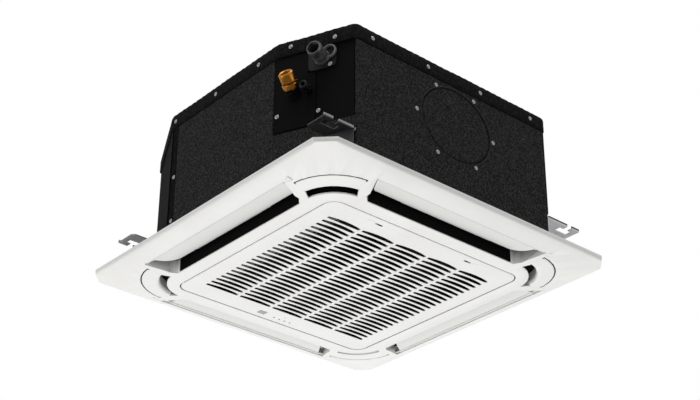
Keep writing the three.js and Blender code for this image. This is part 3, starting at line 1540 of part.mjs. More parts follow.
// Built about its hinge line: X along the hinge, -Y... the blade reaches towards +Y (the unit's middle).
function vaneSolid() {
  const stations = 5;
  const tilt = radians(vaneRestTilt);
  // Height of the blade's middle surface over its chord, bowed downwards.
  const bow = (share) => -vaneBow * 4 * share * (1 - share);
  const line = Array.from({ length: stations + 1 }, (_, i) => {
    const share = i / stations;
    return [vaneBead * 0.5 + (vaneChord - vaneBead * 0.5) * share, bow(share)];
  });
  const halfThickness = vaneThickness / 2;
  const upper = line.map(([y, z]) => [y, z + halfThickness]);
  const lower = line.map(([y, z]) => [y, z - halfThickness]);
  const profile = [...lower, ...upper.reverse()];
  const turnedProfile = profile.map(([y, z]) => [
    y * Math.cos(tilt) - z * Math.sin(tilt),
    y * Math.sin(tilt) + z * Math.cos(tilt),
  ]);
  const shape = new THREE.Shape(turnedProfile.map(([y, z]) => new THREE.Vector2(y, z)));
  const raw = new THREE.ExtrudeGeometry(shape, { depth: 2 * vaneHalf, bevelEnabled: false });
  raw.translate(0, 0, -vaneHalf);
  const toX = new THREE.Matrix4().makeBasis(
    new THREE.Vector3(0, 1, 0),
    new THREE.Vector3(0, 0, 1),
    new THREE.Vector3(1, 0, 0),
  );
  const blade = solid(raw.applyMatrix4(toX));
  // Plan outline: blunt round ends, and a middle that stands proud of the ends.
  const inner = vaneChord * Math.cos(tilt) + 1;
  const endShare = [[0, 1], [0.35, 0.86], [0.65, 0.6], [0.85, 0.3], [1, 0]];
  const end = endShare.map(([share, reach]) => [
    vaneTipHalf + (vaneHalf - vaneTipHalf) * reach,
    share * (inner - vaneStep),
  ]);
  const right = [...end, [vaneStepHalf + 4, inner - vaneStep], [vaneStepHalf, inner + 1]];
  const left = right.map(([x, y]) => [-x, y]).reverse();
  const outline = [[-vaneHalf, -vaneBead - 1], [vaneHalf, -vaneBead - 1], ...right, ...left];
  const bead = rodX(-vaneHalf, vaneHalf, 0, 0, vaneBead, 12);
  const shaft = rodX(-outletOuterHalf - skin + fit, vaneMotorX + shaftIntoMotor - fit, 0, 0, vaneShaft, 12);
  return join(blade.intersect(prism(outline, -30, 30)), bead, shaft);
}

function addVanes() {
  const names = ["front", "right", "back", "left"];
  const vane = vaneSolid();
  const motor = cut(
    join(
      rodX(0, vaneMotorLength, 0, vaneMotorOffset, vaneMotorRadius, 20),
      box(
        0, 1.5,
        -vaneMotorRadius - vaneMotorEar, vaneMotorRadius + vaneMotorEar,
        vaneMotorOffset - vaneMotorEar / 2, vaneMotorOffset + vaneMotorEar / 2,
      ),
    ),
    rodX(-1, shaftIntoMotor + 2, 0, 0, vaneShaft + shaftPlay, 12),
  );
  names.forEach((name, k) => {
    const side = new THREE.Group();
    side.rotation.z = (k * Math.PI) / 2;
    unit.add(side);
    piece("vane_" + name, vane, whitePlastic(), side).position.set(0, -vanePivot, vanePivotZ);
    piece("vane_motor_" + name, motor, whitePlastic(), side).position.set(vaneMotorX, -vanePivot, vanePivotZ);
  });
}

// ---------- grille, filter, latches, display ----------

// One intake slot: straight back edge, arched front edge, pointed ends.
function grilleSlot(column, row) {
  const x = slotsCentreX + (column - (slotColumns - 1) / 2) * slotPitchX;
  const y = slotsCentreY + (row - (slotRows - 1) / 2) * slotPitchY;
  const h = slotLength / 2;
  const w = slotWidth / 2;
  return [
    [x - h, y - w + slotArch],
    [x - h * 0.45, y - w],
    [x + h * 0.45, y - w],
    [x + h, y - w + slotArch],
    [x + h, y + w],
    [x - h, y + w],
  ];
}

function addGrille() {
  const plateTop = innerZ + grillePlate;
  const rimTop = innerZ + grilleRim;
  const outline = roundedRectangle(grilleX / 2, grilleY / 2, grilleCorner);
  const rimInner = inset(outline, ribThickness);
  const plate = prism(outline, innerZ, plateTop);
  const rim = prism(outline, plateTop - 0.5, rimTop, [rimInner]);
  const ribs = Array.from({ length: slotColumns - 1 }, (_, i) => {
    const x = slotsCentreX + (i + 1 - slotColumns / 2) * slotPitchX;
    return box(
      x - ribThickness / 2, x + ribThickness / 2,
      filterFrontY + ribEnd, filterBackY - ribEnd,
      plateTop - 0.5, plateTop + filterLift,
    );
  });
  const pins = [-1, 1].map((side) => {
    const reach = (from, to, radius) => {
      const ends = [side * from, side * to].sort((a, b) => a - b);
      return rodX(...ends, hingeAxisY, hingeAxisZ, radius, 14);
    };
    const knuckle = reach(grilleX / 2 - hingeKnuckle, grilleX / 2, knuckleRadius);
    return join(knuckle, reach(grilleX / 2 - 1, openingX + hingeBoss - 1 - fit, pinRadius));
  });
  const slots = [];
  for (let column = 0; column < slotColumns; column++) {
    for (let row = 0; row < slotRows; row++) slots.push(grilleSlot(column, row));
  }
  const lamps = lampPlaces().map((x) => circle(x, lampY, lampRadius + fit, 8));
  const openings = [
    ...slots,
    ...lamps,
    block(windowX, displayY, windowWidth, windowDepth),
    circle(buttonX, buttonY, buttonRadius + fit, 12),
    block(-latchX, latchY, latchSlotX, latchSlotY),
    block(latchX, latchY, latchSlotX, latchSlotY),
  ].map((opening) => prism(opening, innerZ - 1, plateTop + 1));
  const gaps = [-1, 1].map((side) => {
    const centre = side * (latchX + lugFrom + 0.5);
    const wide = 2 * lugWidth + 3;
    return prism(block(centre, -grilleY / 2, wide, 2 * ribThickness + 2), plateTop, rimTop + 1);
  });
  const guides = [-1, 1].map((side) => latchGuide(side * latchX, plateTop));
  const grille = cut(join(plate, rim, ...ribs, ...pins, ...guides), ...openings, ...gaps);
  piece("intake_grille", grille, whitePlastic());
}

// Plan outline of a block from its centre and size.
function block(x, y, width, depth) {
  return rectangle(width / 2, depth / 2).map(([a, b]) => [x + a, y + b]);
}

const lampPlaces = () => Array.from({ length: lampCount }, (_, i) => lampFirstX + i * lampPitch);

// A rail behind a latch, with a lip over it.
function latchGuide(x, plateTop) {
  const back = latchBodyBack + fit;
  const lip = plateTop + fit + latchThickness + fit;
  return join(
    prism(block(x, back + 0.75, latchBodyX / 2, 1.5), plateTop - 0.5, lip + 1.2),
    prism(block(x, back - 0.5, latchBodyX / 2, 4), lip, lip + 1.2),
  );
}

function addLatches() {
  const plateTop = innerZ + grillePlate;
  const low = plateTop + fit;
  const hookLow = lugBottom + lugThickness + fit;
  for (const [name, side] of [["left", -1], ["right", 1]]) {
    const rest = latchRest;
    const centre = side * (latchX + rest);
    const hookAt = side * (latchX + lugFrom - 0.5 - hookWidth / 2);
    const bodyDepth = latchBodyBack - latchBodyFront;
    const bodyY = (latchBodyBack + latchBodyFront) / 2;
    const hookY = -grilleY / 2 + 0.2;
    const hookDepth = latchBodyFront + 4 - hookY;
    const shape = join(
      prism(block(centre, bodyY, latchBodyX, bodyDepth), low, low + latchThickness),
      prism(block(centre, latchY, latchKnobX, latchKnobY), innerZ - 0.4, low + 1),
      prism(block(hookAt, latchBodyFront + 2, hookWidth, 4), low, hookLow + hookThickness),
      prism(block(hookAt, hookY + hookDepth / 2, hookWidth, hookDepth), hookLow, hookLow + hookThickness),
    );
    piece("latch_" + name, shape, whitePlastic());
  }
}

// Filter: a frame with a coarse lattice that carries the net.
function addFilter() {
  const bottom = innerZ + grillePlate + filterLift + fit;
  const top = bottom + filterThickness;
  const barTop = bottom + filterBarHeight;
  const depth = filterBackY - filterFrontY;
  const middle = (filterBackY + filterFrontY) / 2;
  const outside = block(0, middle, 2 * filterHalfX, depth);
  const inside = block(0, middle, 2 * (filterHalfX - filterBorder), depth - 2 * filterBorder);
  const columns = Math.round((2 * filterHalfX) / filterPitchX);
  const rows = Math.round(depth / filterPitchY);
  const bars = [];
  for (let i = 1; i < columns; i++) {
    const x = -filterHalfX + (2 * filterHalfX * i) / columns;
    bars.push(box(x - filterBar / 2, x + filterBar / 2, filterFrontY + 2, filterBackY - 2, bottom, barTop));
  }
  for (let i = 1; i < rows; i++) {
    const y = filterFrontY + (depth * i) / rows;
    bars.push(box(-filterHalfX + 2, filterHalfX - 2, y - filterBar / 2, y + filterBar / 2, bottom, barTop));
  }
  piece("air_filter", join(prism(outside, bottom, top, [inside]), ...bars), blackPlastic());
}

function addDisplay() {
  const plateTop = innerZ + grillePlate;
  const seat = plateTop + fit;
  const window = join(
    prism(block(windowX, displayY, windowWidth - 2 * fit, windowDepth - 2 * fit), innerZ + 0.2, seat + 0.5),
    prism(block(windowX, displayY, windowWidth + 3, windowDepth + 2), seat, seat + 1.2),
  );
  piece("receiver_window", window, finish("#cfcfca", 0.25));
  const places = lampPlaces();
  const middle = (places[0] + places[lampCount - 1]) / 2;
  const guide = join(
    prism(block(middle, lampY, places[lampCount - 1] - places[0] + 5, 4.5), seat, seat + 2),
    ...places.map((x) => rod(x, lampY, innerZ + 0.1, seat + 0.5, lampRadius, 8)),
  );
  piece("lamp_light_guide", guide, finish("#e4e4e0", 0.2));
  const button = join(
    rod(buttonX, buttonY, innerZ - buttonTravel, seat + 0.5, buttonRadius, 12),
    rod(buttonX, buttonY, seat, seat + 1.2, buttonRadius + 1.4, 12),
  );
  piece("display_button", button, whitePlastic());
}

addShell();
addShellCovers();
addPanAndCoil();
addFan();
addIntakeRing();
addControlBox();
addPiping();
addPump();
addHangers();
addPanel();
addCornerCovers();
addDuctSeal();
addVanes();
addGrille();
addLatches();
addFilter();
addDisplay();

export default unit;
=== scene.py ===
"""A compact four-way ceiling cassette air conditioner, hung over a pale studio floor.

Everything is in metres in the part's own frame: the origin is at the unit's middle on the ceiling plane,
+Z points up, and the piping corner is at -X -Y. Sizes below are given in millimetres and turned to metres
by the constant MM.
"""

import json

import bmesh
import bpy
import numpy as np
from mathutils import Matrix, Vector
from mathutils.geometry import tessellate_polygon


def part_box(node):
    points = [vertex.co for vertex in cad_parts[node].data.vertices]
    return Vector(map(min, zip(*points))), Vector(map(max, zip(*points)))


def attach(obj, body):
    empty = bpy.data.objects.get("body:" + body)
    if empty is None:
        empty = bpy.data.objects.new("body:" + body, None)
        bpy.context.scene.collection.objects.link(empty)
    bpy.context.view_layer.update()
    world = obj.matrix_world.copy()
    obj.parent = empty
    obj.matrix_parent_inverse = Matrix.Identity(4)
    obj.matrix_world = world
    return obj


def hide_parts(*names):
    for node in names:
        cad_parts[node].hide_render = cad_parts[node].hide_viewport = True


MM = 0.001
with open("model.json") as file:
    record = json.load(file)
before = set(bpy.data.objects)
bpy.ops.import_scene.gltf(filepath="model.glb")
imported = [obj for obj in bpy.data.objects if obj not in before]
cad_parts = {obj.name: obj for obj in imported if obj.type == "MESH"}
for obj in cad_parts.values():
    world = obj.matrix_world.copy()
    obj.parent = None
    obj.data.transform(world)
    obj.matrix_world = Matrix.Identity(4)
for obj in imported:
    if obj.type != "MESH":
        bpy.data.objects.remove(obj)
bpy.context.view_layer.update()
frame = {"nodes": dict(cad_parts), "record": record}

# ---------------- camera, floor and light

CAMERA_AT = (-1.56857, -1.82366, -1.19903)
CAMERA_AZIMUTH = 40.82  # degrees from +Y towards +X
CAMERA_ELEVATION = 29.008  # looking up
CAMERA_ROLL = 0.276
LENS = 79.40
FLOOR_AT = -4.6
SKY_STRENGTH = 0.35


def placed(name, data):
    """A new object that shows the data, linked to the scene."""
    made = bpy.data.objects.new(name, data)
    bpy.context.scene.collection.objects.link(made)
    return made


def add_camera():
    """Places the camera at the photograph's own point, looking up at the panel from the piping corner."""
    azimuth, elevation, roll = np.radians([CAMERA_AZIMUTH, CAMERA_ELEVATION, CAMERA_ROLL])
    data = bpy.data.cameras.new("photo_camera")
    data.sensor_width = 36.0
    data.lens = LENS
    data.clip_end = 60.0
    camera = placed("photo_camera", data)
    level = Matrix.Rotation(-azimuth, 4, "Z") @ Matrix.Rotation(np.pi / 2 + elevation, 4, "X")
    camera.matrix_world = Matrix.Translation(CAMERA_AT) @ level @ Matrix.Rotation(roll, 4, "Z")
    bpy.context.scene.camera = camera


def add_lamp(name, at, size, watts):
    """A square soft lamp at a point, turned towards the unit."""
    data = bpy.data.lights.new(name, "AREA")
    data.size = size
    data.energy = watts
    turn = (-Vector(at)).to_track_quat("-Z", "Y").to_matrix().to_4x4()
    placed(name, data).matrix_world = Matrix.Translation(at) @ turn


# ---------------- materials


def linear(colour):
    """An sRGB hex colour as linear red, green, blue and alpha."""
    parts = np.array([int(colour[i : i + 2], 16) / 255 for i in (1, 3, 5)])
    low = parts / 12.92
    high = ((parts + 0.055) / 1.055) ** 2.4
    return (*np.where(parts <= 0.04045, low, high), 1.0)


def add(tree, kind, settings=None, links=None):
    """Adds one node, sets its properties or sockets by name, and links sockets to other nodes' outputs."""
    made = tree.nodes.new("ShaderNode" + kind)
    for name, value in (settings or {}).items():
        if isinstance(name, str) and hasattr(made, name):
            setattr(made, name, value)
        else:
            made.inputs[name].default_value = value
    for name, source in (links or {}).items():
        tree.links.new(source, made.inputs[name])
    return made


def start_material(name, colour, roughness, metallic=0.0, **sockets):
    """A material with one Principled shader, its plain values, and the object's coordinates."""
    material = bpy.data.materials.new(name)
    material.use_nodes = True
    tree = material.node_tree
    shader = tree.nodes["Principled BSDF"]
    shader.inputs["Base Color"].default_value = linear(colour)
    shader.inputs["Roughness"].default_value = roughness
    shader.inputs["Metallic"].default_value = metallic
    for socket, value in sockets.items():
        shader.inputs[socket.replace("_", " ")].default_value = value
    place = add(tree, "TexCoord").outputs["Object"]
    return material, tree, shader, place


def tint(tree, shader, mask, dark, light, low=0.3, high=0.7):
    """Colours a surface between two hex colours by a mask, ramped between two of its values."""
    ramp = add(tree, "ValToRGB", links={"Fac": mask})
    for element, position, colour in zip(ramp.color_ramp.elements, (low, high), (dark, light)):
        element.position = position
        element.color = linear(colour)
    tree.links.new(ramp.outputs["Color"], shader.inputs["Base Color"])


def roughen(tree, shader, mask, low, high):
    """Spreads roughness between two values by a mask."""
    spread = add(tree, "MapRange", {"To Min": low, "To Max": high}, {"Value": mask})
    tree.links.new(spread.outputs["Result"], shader.inputs["Roughness"])


def emboss(tree, shader, height, depth_mm, strength=1.0):
    """Bump from a height between 0 and 1, with its depth in millimetres."""
    depth = {"Distance": depth_mm * MM, "Strength": strength}
    bump = add(tree, "Bump", depth, {"Height": height})
    tree.links.new(bump.outputs["Normal"], shader.inputs["Normal"])


def noise(tree, place, size_mm, detail=3.0):
    """Noise whose grains are about one size in millimetres."""
    settings = {"Scale": 1.0 / (size_mm * MM), "Detail": detail}
    return add(tree, "TexNoise", settings, {"Vector": place}).outputs["Fac"]


def cells(tree, place, size_mm, output):
    """An output of a cell pattern whose cells are about one size in millimetres."""
    made = add(tree, "TexVoronoi", {"Scale": 1.0 / (size_mm * MM)}, {"Vector": place})
    return made.outputs[output]


def grained(start, rough=None, bump=None, shades=None, **sockets):
    """A material whose roughness, relief and colour each follow a noise of their own. Each pattern is the
    noise's size in millimetres and its detail, then what roughen, emboss or tint take."""
    material, tree, shader, place = start_material(*start, **sockets)
    for apply, pattern in ((tint, shades), (roughen, rough), (emboss, bump)):
        if pattern is not None:
            apply(tree, shader, noise(tree, place, *pattern[:2]), *pattern[2:])
    return material


def ribbed_abs(name, turn_degrees):
    """White ABS of the vanes: close, fine ribs run slantwise over the matt face and catch the light, painted
    as stripes.
    """
    material, tree, shader, place = start_material(name, "#dfe0dc", 0.52)
    turn = {"Rotation": (0.0, 0.0, np.radians(turn_degrees))}
    turned_place = add(tree, "Mapping", turn, {"Vector": place}).outputs["Vector"]
    ribs = {"wave_type": "BANDS", "Scale": RIB_SCALE, "Distortion": 0.6, "Detail": 1.0}
    wave = add(tree, "TexWave", ribs, {"Vector": turned_place}).outputs["Fac"]
    # Painted light and shade: each rib's tint follows its relief.
    tint(tree, shader, wave, "#dadbd7", "#e3e4e0", 0.1, 0.9)
    emboss(tree, shader, wave, 0.08, 0.6)
    roughen(tree, shader, wave, 0.46, 0.58)
    return material


def closed_cell_foam(name, dark, light, speck_mm=2.1):
    """Black closed-cell foam: a dead matt, felted skin with short grey fibres and specks of dust in it."""
    material, tree, shader, place = start_material(name, dark, 1.0, Specular_IOR_Level=0.04)
    stretched = add(tree, "Mapping", {"Scale": (1.0, 1.0, 0.85)}, {"Vector": place})
    fibre = noise(tree, stretched.outputs["Vector"], speck_mm, 6.0)
    tint(tree, shader, fibre, dark, light, 0.42, 0.74)
    emboss(tree, shader, fibre, 0.35, 0.5)
    return material


def spangle(tree, place):
    """The shade of each zinc spangle, 5 mm across, between 0 and 1."""
    colour = cells(tree, place, 5.0, "Color")
    return add(tree, "SeparateColor", links={"Color": colour}).outputs["Red"]


def galvanised(name, colour, dark):
    """Hot-dip zinc on steel: spangles several millimetres wide that differ a little in shade and gloss."""
    material, tree, shader, place = start_material(name, colour, 0.42, 0.85)
    shade = spangle(tree, place)
    tint(tree, shader, shade, dark, colour, 0.0, 1.0)
    roughen(tree, shader, shade, 0.36, 0.5)
    return material


def painted_light_bracket_zinc(name, under, flange):
    """Zinc-coated bracket: dull spangled sheet; its plate and its upturned flange take two tones split by
    height, painted light and shade set for how each hanger lies in the light."""
    material, tree, shader, place = start_material(name, under, 0.5)
    height = add(tree, "SeparateXYZ", links={"Vector": place}).outputs["Z"]
    shade = spangle(tree, place)
    shift = add(tree, "Math", {"operation": "MULTIPLY", 1: 0.1 * MM}, {0: shade}).outputs["Value"]
    level = add(tree, "Math", {"operation": "ADD"}, {0: height, 1: shift}).outputs["Value"]
    span = {"From Min": FLANGE_FROM[0] * MM, "From Max": FLANGE_FROM[1] * MM}
    share = add(tree, "MapRange", span, {"Value": level}).outputs["Result"]
    # Painted light and shade: the plate's tone below these heights, the flange's above.
    tint(tree, shader, share, under, flange, 0.0, 1.0)
    roughen(tree, shader, shade, 0.42, 0.6)
    return material


def bare_metal(name, colour, roughness, grain_mm):
    """Machined or drawn bare metal: a clean sheen with a fine grain."""
    rough = (grain_mm, 5.0, roughness - 0.06, roughness + 0.1)
    return grained((name, colour, roughness, 1.0), rough, (grain_mm, 3.0, 0.03))


def bead_foam():
    """Moulded polystyrene: white beads 4 mm across pressed together, with painted shade darkening the
    crevices between them.
    """
    material, tree, shader, place = start_material("bead_foam_white", "#dededa", 0.85)
    beads = cells(tree, place, 4.0, "Distance")
    emboss(tree, shader, beads, -0.4)
    # Painted shade: the colour darkens from each bead's middle towards the crevices round it.
    tint(tree, shader, beads, "#e4e4e0", "#c9c9c4", 0.2, 0.9)
    return material


def coil_fins():
    """Aluminium fins 1.6 mm apart seen edge on, with painted light and shade: bright edges over dark gaps."""
    material, tree, shader, place = start_material("coil_fins_aluminium", "#b9bdc0", 0.4, 0.9)
    around = add(tree, "TexGradient", {"gradient_type": "RADIAL"}, {"Vector": place}).outputs["Fac"]
    stripes = add(tree, "Math", {"operation": "PINGPONG", 1: FIN_TURN}, {0: around}).outputs["Value"]
    share = add(tree, "Math", {"operation": "MULTIPLY", 1: 1 / FIN_TURN}, {0: stripes}).outputs["Value"]
    # Painted light and shade: lit fin edges, shaded gaps between the fins.
    tint(tree, shader, share, "#4a4d50", "#c3c7ca", 0.25, 0.75)
    emboss(tree, shader, share, 0.6)
    return material


def circuit_lacquer():
    """Green lacquered board: glossy, with paler tracks a millimetre or two wide."""
    material, tree, shader, place = start_material("lacquered_board", "#2c5a38", 0.35)
    shades = {"Color1": linear("#2c5a38"), "Color2": linear("#30633d"), "Mortar": linear("#4d7f4f")}
    tracks = add(tree, "TexBrick", {"Scale": 60.0, **shades}, {"Vector": place})
    tree.links.new(tracks.outputs["Color"], shader.inputs["Base Color"])
    roughen(tree, shader, noise(tree, place, 8.0), 0.3, 0.42)
    return material


RIB_SCALE = 1.0 / (2.2 * MM) / 3.2  # ribs 2.2 mm apart, coarser than the real 0.8 mm so that they show
FLANGE_FROM = (60.6, 61.4)  # heights between which a hanger's plate turns into its flange, and its painted shade from the plate's tone to the flange's
FIN_TURN = 0.0006  # the share of a full turn that one fin takes

# Injection-moulded ABS has a spark-eroded grain of about 0.2 mm; it is drawn at 0.9 mm so that it shows.
WHITE = grained(
    ("moulded_abs_white", "#e9e9e7", 0.46),
    (30.0, 3.0, 0.42, 0.52), (0.9, 4.0, 0.03), (90.0, 3.0, "#e6e5e2", "#ebebe8"),
)
VANE_X = ribbed_abs("ribbed_abs_across", 38.0)
VANE_Y = ribbed_abs("ribbed_abs_along", 52.0)
FOAM = closed_cell_foam("closed_cell_foam", "#1b1b1b", "#474747")
BAND_FOAM = closed_cell_foam("band_foam", "#161616", "#262626", 5.0)
# The knock-out's lip is drawn in lighter foam: a painted highlight along the cut.
LIP_PAINTED_HIGHLIGHT = closed_cell_foam("knockout_lip_painted_highlight", "#333333", "#4a4a4a")
# Black foam: the outlets' linings and caps, the duct seal and the pipe sleeve, and painted shade in the
# joints and over the arc slots.
LINING_AND_SHADE = closed_cell_foam("lining_foam_and_painted_shade", "#080808", "#161616")
SKIN = closed_cell_foam("corner_skin", "#101010", "#1d1d1d", 6.0)
# Coated steel sheet: smooth and dark, with a weak, broad sheen and faint rolling marks.
SHEET = grained(
    ("coated_sheet_black", "#060606", 0.7),
    (12.0, 5.0, 0.6, 0.74), (18.0, 3.0, 0.05), Specular_IOR_Level=0.04,
)
ZINC = galvanised("zinc_sheet", "#b7babc", "#9a9d9f")
# Three lit and shaded copies of one zinc, one for each hanger's place in the light: plate and flange tones
# are painted light and shade.
BRACKET_PAINTED_SHADE = painted_light_bracket_zinc("bracket_painted_shade_plate", "#1b1c1e", "#8e9092")
BRACKET_PAINTED_LIT_PLATE = painted_light_bracket_zinc("bracket_painted_lit_plate", "#ecedef", "#3a3c3e")
BRACKET_PAINTED_HALF_LIGHT = painted_light_bracket_zinc("bracket_painted_half_light", "#9c9ea0", "#a4a6a8")
SCREW_STEEL = bare_metal("plated_screw_steel", "#85878a", 0.36, 1.0)
# Near-black steel of the liquid fitting.
NEAR_BLACK_STEEL = bare_metal("near_black_union_steel", "#232425", 0.5, 1.0)
STEEL = bare_metal("turned_steel", "#aeb1b4", 0.28, 1.0)
BRASS = bare_metal("machined_brass", "#966222", 0.27, 0.8)
COPPER = bare_metal("drawn_copper", "#b86f45", 0.3, 2.0)
BEADS = bead_foam()
FINS = coil_fins()
BOARD = circuit_lacquer()
# Black plastic of fan, ring and filter: matt with a faint grain; also the painted shade in the corner covers'
# notches.
BLACK_PLASTIC_AND_SHADE = grained(
    ("moulded_black_plastic_and_notch_shade", "#121212", 0.58),
    (25.0, 3.0, 0.5, 0.62), (1.2, 4.0, 0.05), Specular_IOR_Level=0.15,
)
# Smoky, half-clear polymer: light goes a little way in and the wall shows darker streaks.
SMOKY = grained(
    ("smoky_polymer", "#4a4a49", 0.34),
    (6.0, 3.0, 0.28, 0.44), (3.0, 3.0, 0.1), (8.0, 4.0, "#333333", "#5a5a59", 0.35, 0.65),
    Transmission_Weight=0.12,
)
# Grey nylon: a dull sheen, a little cloudy where it was cut and bent.
STRAP = grained(
    ("nylon_grey", "#6c6d6e", 0.42),
    (3.0, 3.0, 0.36, 0.5), None, (5.0, 4.0, "#5e5f60", "#78797a"),
)
# Milky clear plastic: glossy, with a soft inner glow.
WINDOW, LAMP = (
    grained((name, colour, 0.22), (5.0, 3.0, 0.18, 0.28), Transmission_Weight=0.25)
    for name, colour in (("receiver_window_plastic", "#c0c0bc"), ("lamp_guide_plastic", "#3c3c3a"))
)
# Black rubber: dull, slightly dusty.
RUBBER = grained(
    ("rubber_black", "#1b1b1b", 0.8),
    None, (1.5, 3.0, 0.08), (4.0, 4.0, "#171717", "#262626"),
)

FINISHES = [
    (SHEET, "casing_wall top_cover pipe_cover_plate"),
    (BAND_FOAM, "duct_seal"),
    (BEADS, "inner_liner drain_pan"),
    (FINS, "evaporator_coil"),
    (ZINC, "coil_end_plate_front coil_end_plate_left fan_motor motor_bracket control_box control_box_lid"),
    (BLACK_PLASTIC_AND_SHADE, "fan_wheel intake_ring terminal_block drain_pump float_switch_stem air_filter"),
    (STEEL, "fan_shaft"),
    (SCREW_STEEL, "fan_nut"),
    (BOARD, "circuit_board"),
    (COPPER, "gas_pipe liquid_pipe"),
    (RUBBER, "drain_hose"),
    (WINDOW, "receiver_window"),
    (LAMP, "lamp_light_guide"),
    (BRACKET_PAINTED_SHADE, "hanger_front_left"),
    (BRACKET_PAINTED_LIT_PLATE, "hanger_front_right hanger_back_right"),
    (BRACKET_PAINTED_HALF_LIGHT, "hanger_back_left"),
    (VANE_X, "vane_front vane_back"),
    (VANE_Y, "vane_right vane_left"),
]
NODE_FINISHES = {node: finish for finish, nodes in FINISHES for node in nodes.split()}


def dress_nodes():
    """Gives every CAD node its finish; whatever has no line in the table is white ABS."""
    for name, node in frame["nodes"].items():
        finish = NODE_FINISHES.get(name, WHITE)
        if not node.data.materials:
            node.data.materials.append(finish)
        for i in range(len(node.data.materials)):
            node.data.materials[i] = finish


# ---------------- making surfaces


def full_turn(count):
    """Even angles of a full turn."""
    return np.linspace(0, 2 * np.pi, count, endpoint=False)


def grid_faces(rows, columns, close_rows=False, close_columns=False):
    """Quads of a grid of points, wrapped round in either direction when asked."""
    i = np.arange(rows if close_rows else rows - 1)
    j = np.arange(columns if close_columns else columns - 1)
    a, b = np.meshgrid(i, j, indexing="ij")
    a2, b2 = (a + 1) % rows, (b + 1) % columns
    corners = [a * columns + b, a2 * columns + b, a2 * columns + b2, a * columns + b2]
    return np.stack(corners, -1).reshape(-1, 4)


def at_height(plan, z):
    """Plan points with a height."""
    return np.column_stack([plan, np.broadcast_to(z, len(plan))])


def swept(grid):
    """A closed section carried along a line: rows along the line, columns round the section, ends capped."""
    rows, columns = grid.shape[:2]
    last = (rows - 1) * columns
    caps = [list(range(columns)), list(range(last, last + columns))]
    return grid, grid_faces(rows, columns, False, True).tolist() + caps


def looped(grid):
    """A closed section carried round a closed line."""
    return grid, grid_faces(*grid.shape[:2], True, True).tolist()


def tube_wall(rings):
    """Rings of points joined one to the next, open at both ends."""
    return np.stack(rings), grid_faces(len(rings), len(rings[0]), False, True).tolist()


def make_piece(name, shapes, finish, body="unit", slot="foam", replaces=(), smooth_below=40.0):
    """One mesh object from (points, faces) shapes in millimetres, riding on a body: its faces are turned
    outwards and its edges gentler than an angle are smooth."""
    points, faces, offset = [], [], 0
    for corners, polygons in shapes:
        points.append(np.asarray(corners, float).reshape(-1, 3) * MM)
        faces += [[int(v) + offset for v in polygon] for polygon in polygons]
        offset += len(points[-1])
    mesh = bpy.data.meshes.new(name)
    mesh.from_pydata(np.concatenate(points).tolist(), [], faces)
    mesh.validate()
    work = bmesh.new()
    work.from_mesh(mesh)
    bmesh.ops.remove_doubles(work, verts=work.verts, dist=1e-6)
    bmesh.ops.recalc_face_normals(work, faces=work.faces)
    limit = float(np.radians(smooth_below))
    for edge in work.edges:
        edge.smooth = len(edge.link_faces) == 2 and edge.calc_face_angle(0.0) < limit
    return mount(name, mesh, work, finish, body, replaces)


def mount(name, mesh, work, finish, body, replaces):
    """Writes the worked faces to the mesh, and links, dresses and mounts it as one piece."""
    for face in work.faces:
        face.smooth = True
    work.to_mesh(mesh)
    work.free()
    mesh.materials.append(finish)
    piece = placed(name, mesh)
    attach(piece, body)
    for node in replaces:
        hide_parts(node)
    return piece


def softened(node, finish, width_mm=0.5, reshape=None, round_first=None):
    """A copy of a CAD node, merged and with its edges rounded, that stands for the node. reshape(points) may
    move its points, in millimetres, and round_first(a, b) picks edges that get a wide rounding first."""
    mesh = frame["nodes"][node].data.copy()
    mesh.materials.clear()
    if reshape is not None:
        places = np.empty(len(mesh.vertices) * 3)
        mesh.vertices.foreach_get("co", places)
        mesh.vertices.foreach_set("co", (reshape(places.reshape(-1, 3) / MM) * MM).ravel())
    work = bmesh.new()
    work.from_mesh(mesh)
    bmesh.ops.remove_doubles(work, verts=work.verts, dist=2e-6)
    bmesh.ops.dissolve_limit(work, angle_limit=np.radians(0.6), verts=work.verts, edges=work.edges)
    if round_first is not None:
        whole = [edge for edge in work.edges if len(edge.link_faces) == 2]
        picked = [edge for edge in whole if round_first(*(point.co / MM for point in edge.verts))]
        offset = RIM_RADIUS * MM
        bmesh.ops.bevel(work, geom=picked, offset=offset, segments=5, profile=0.5, affect="EDGES")
    bodies = frame["record"]["behaviour"]["bodies"]
    body = next(name for name, nodes in bodies.items() if node in nodes)
    piece = mount(node + "_finished", mesh, work, finish, body, (node,))
    bevel = piece.modifiers.new("edge_radius", "BEVEL")
    bevel.width = width_mm * MM
    bevel.segments = 2
    bevel.limit_method = "ANGLE"
    bevel.angle_limit = np.radians(28.0)
    bevel.harden_normals = True
    bevel.use_clamp_overlap = True


def turned(profile, centre, axis, sides=32, radius_at=None):
    """A profile of (radius, height) turned about an axis through a point: angle across, profile along.
    radius_at(angle, radius) may limit each radius, which gives a hexagon with chamfered corners."""
    axis = np.asarray(axis, float) / np.linalg.norm(axis)
    side = np.cross(axis, [0.0, 0.0, 1.0] if abs(axis[2]) < 0.9 else [1.0, 0.0, 0.0])
    side /= np.linalg.norm(side)
    other = np.cross(axis, side)
    radius, height = np.asarray(profile, float).T
    angle = full_turn(sides)
    reach = np.broadcast_to(radius[:, None], (len(radius), sides))
    if radius_at is not None:
        reach = radius_at(angle[None, :], reach)
    points = (
        np.asarray(centre, float)
        + height[:, None, None] * axis
        + reach[..., None] * (np.cos(angle)[:, None] * side + np.sin(angle)[:, None] * other)
    )
    return points, grid_faces(len(radius), sides, close_columns=True).tolist()


def hexagon(across):
    """Radius limit of a hexagonal bar: half its width across flats over the cosine to the nearest flat."""

    def limit(angle, radius):
        to_flat = (angle + np.pi / 6) % (np.pi / 3) - np.pi / 6
        return np.minimum(radius, across / 2 / np.cos(to_flat))

    return limit


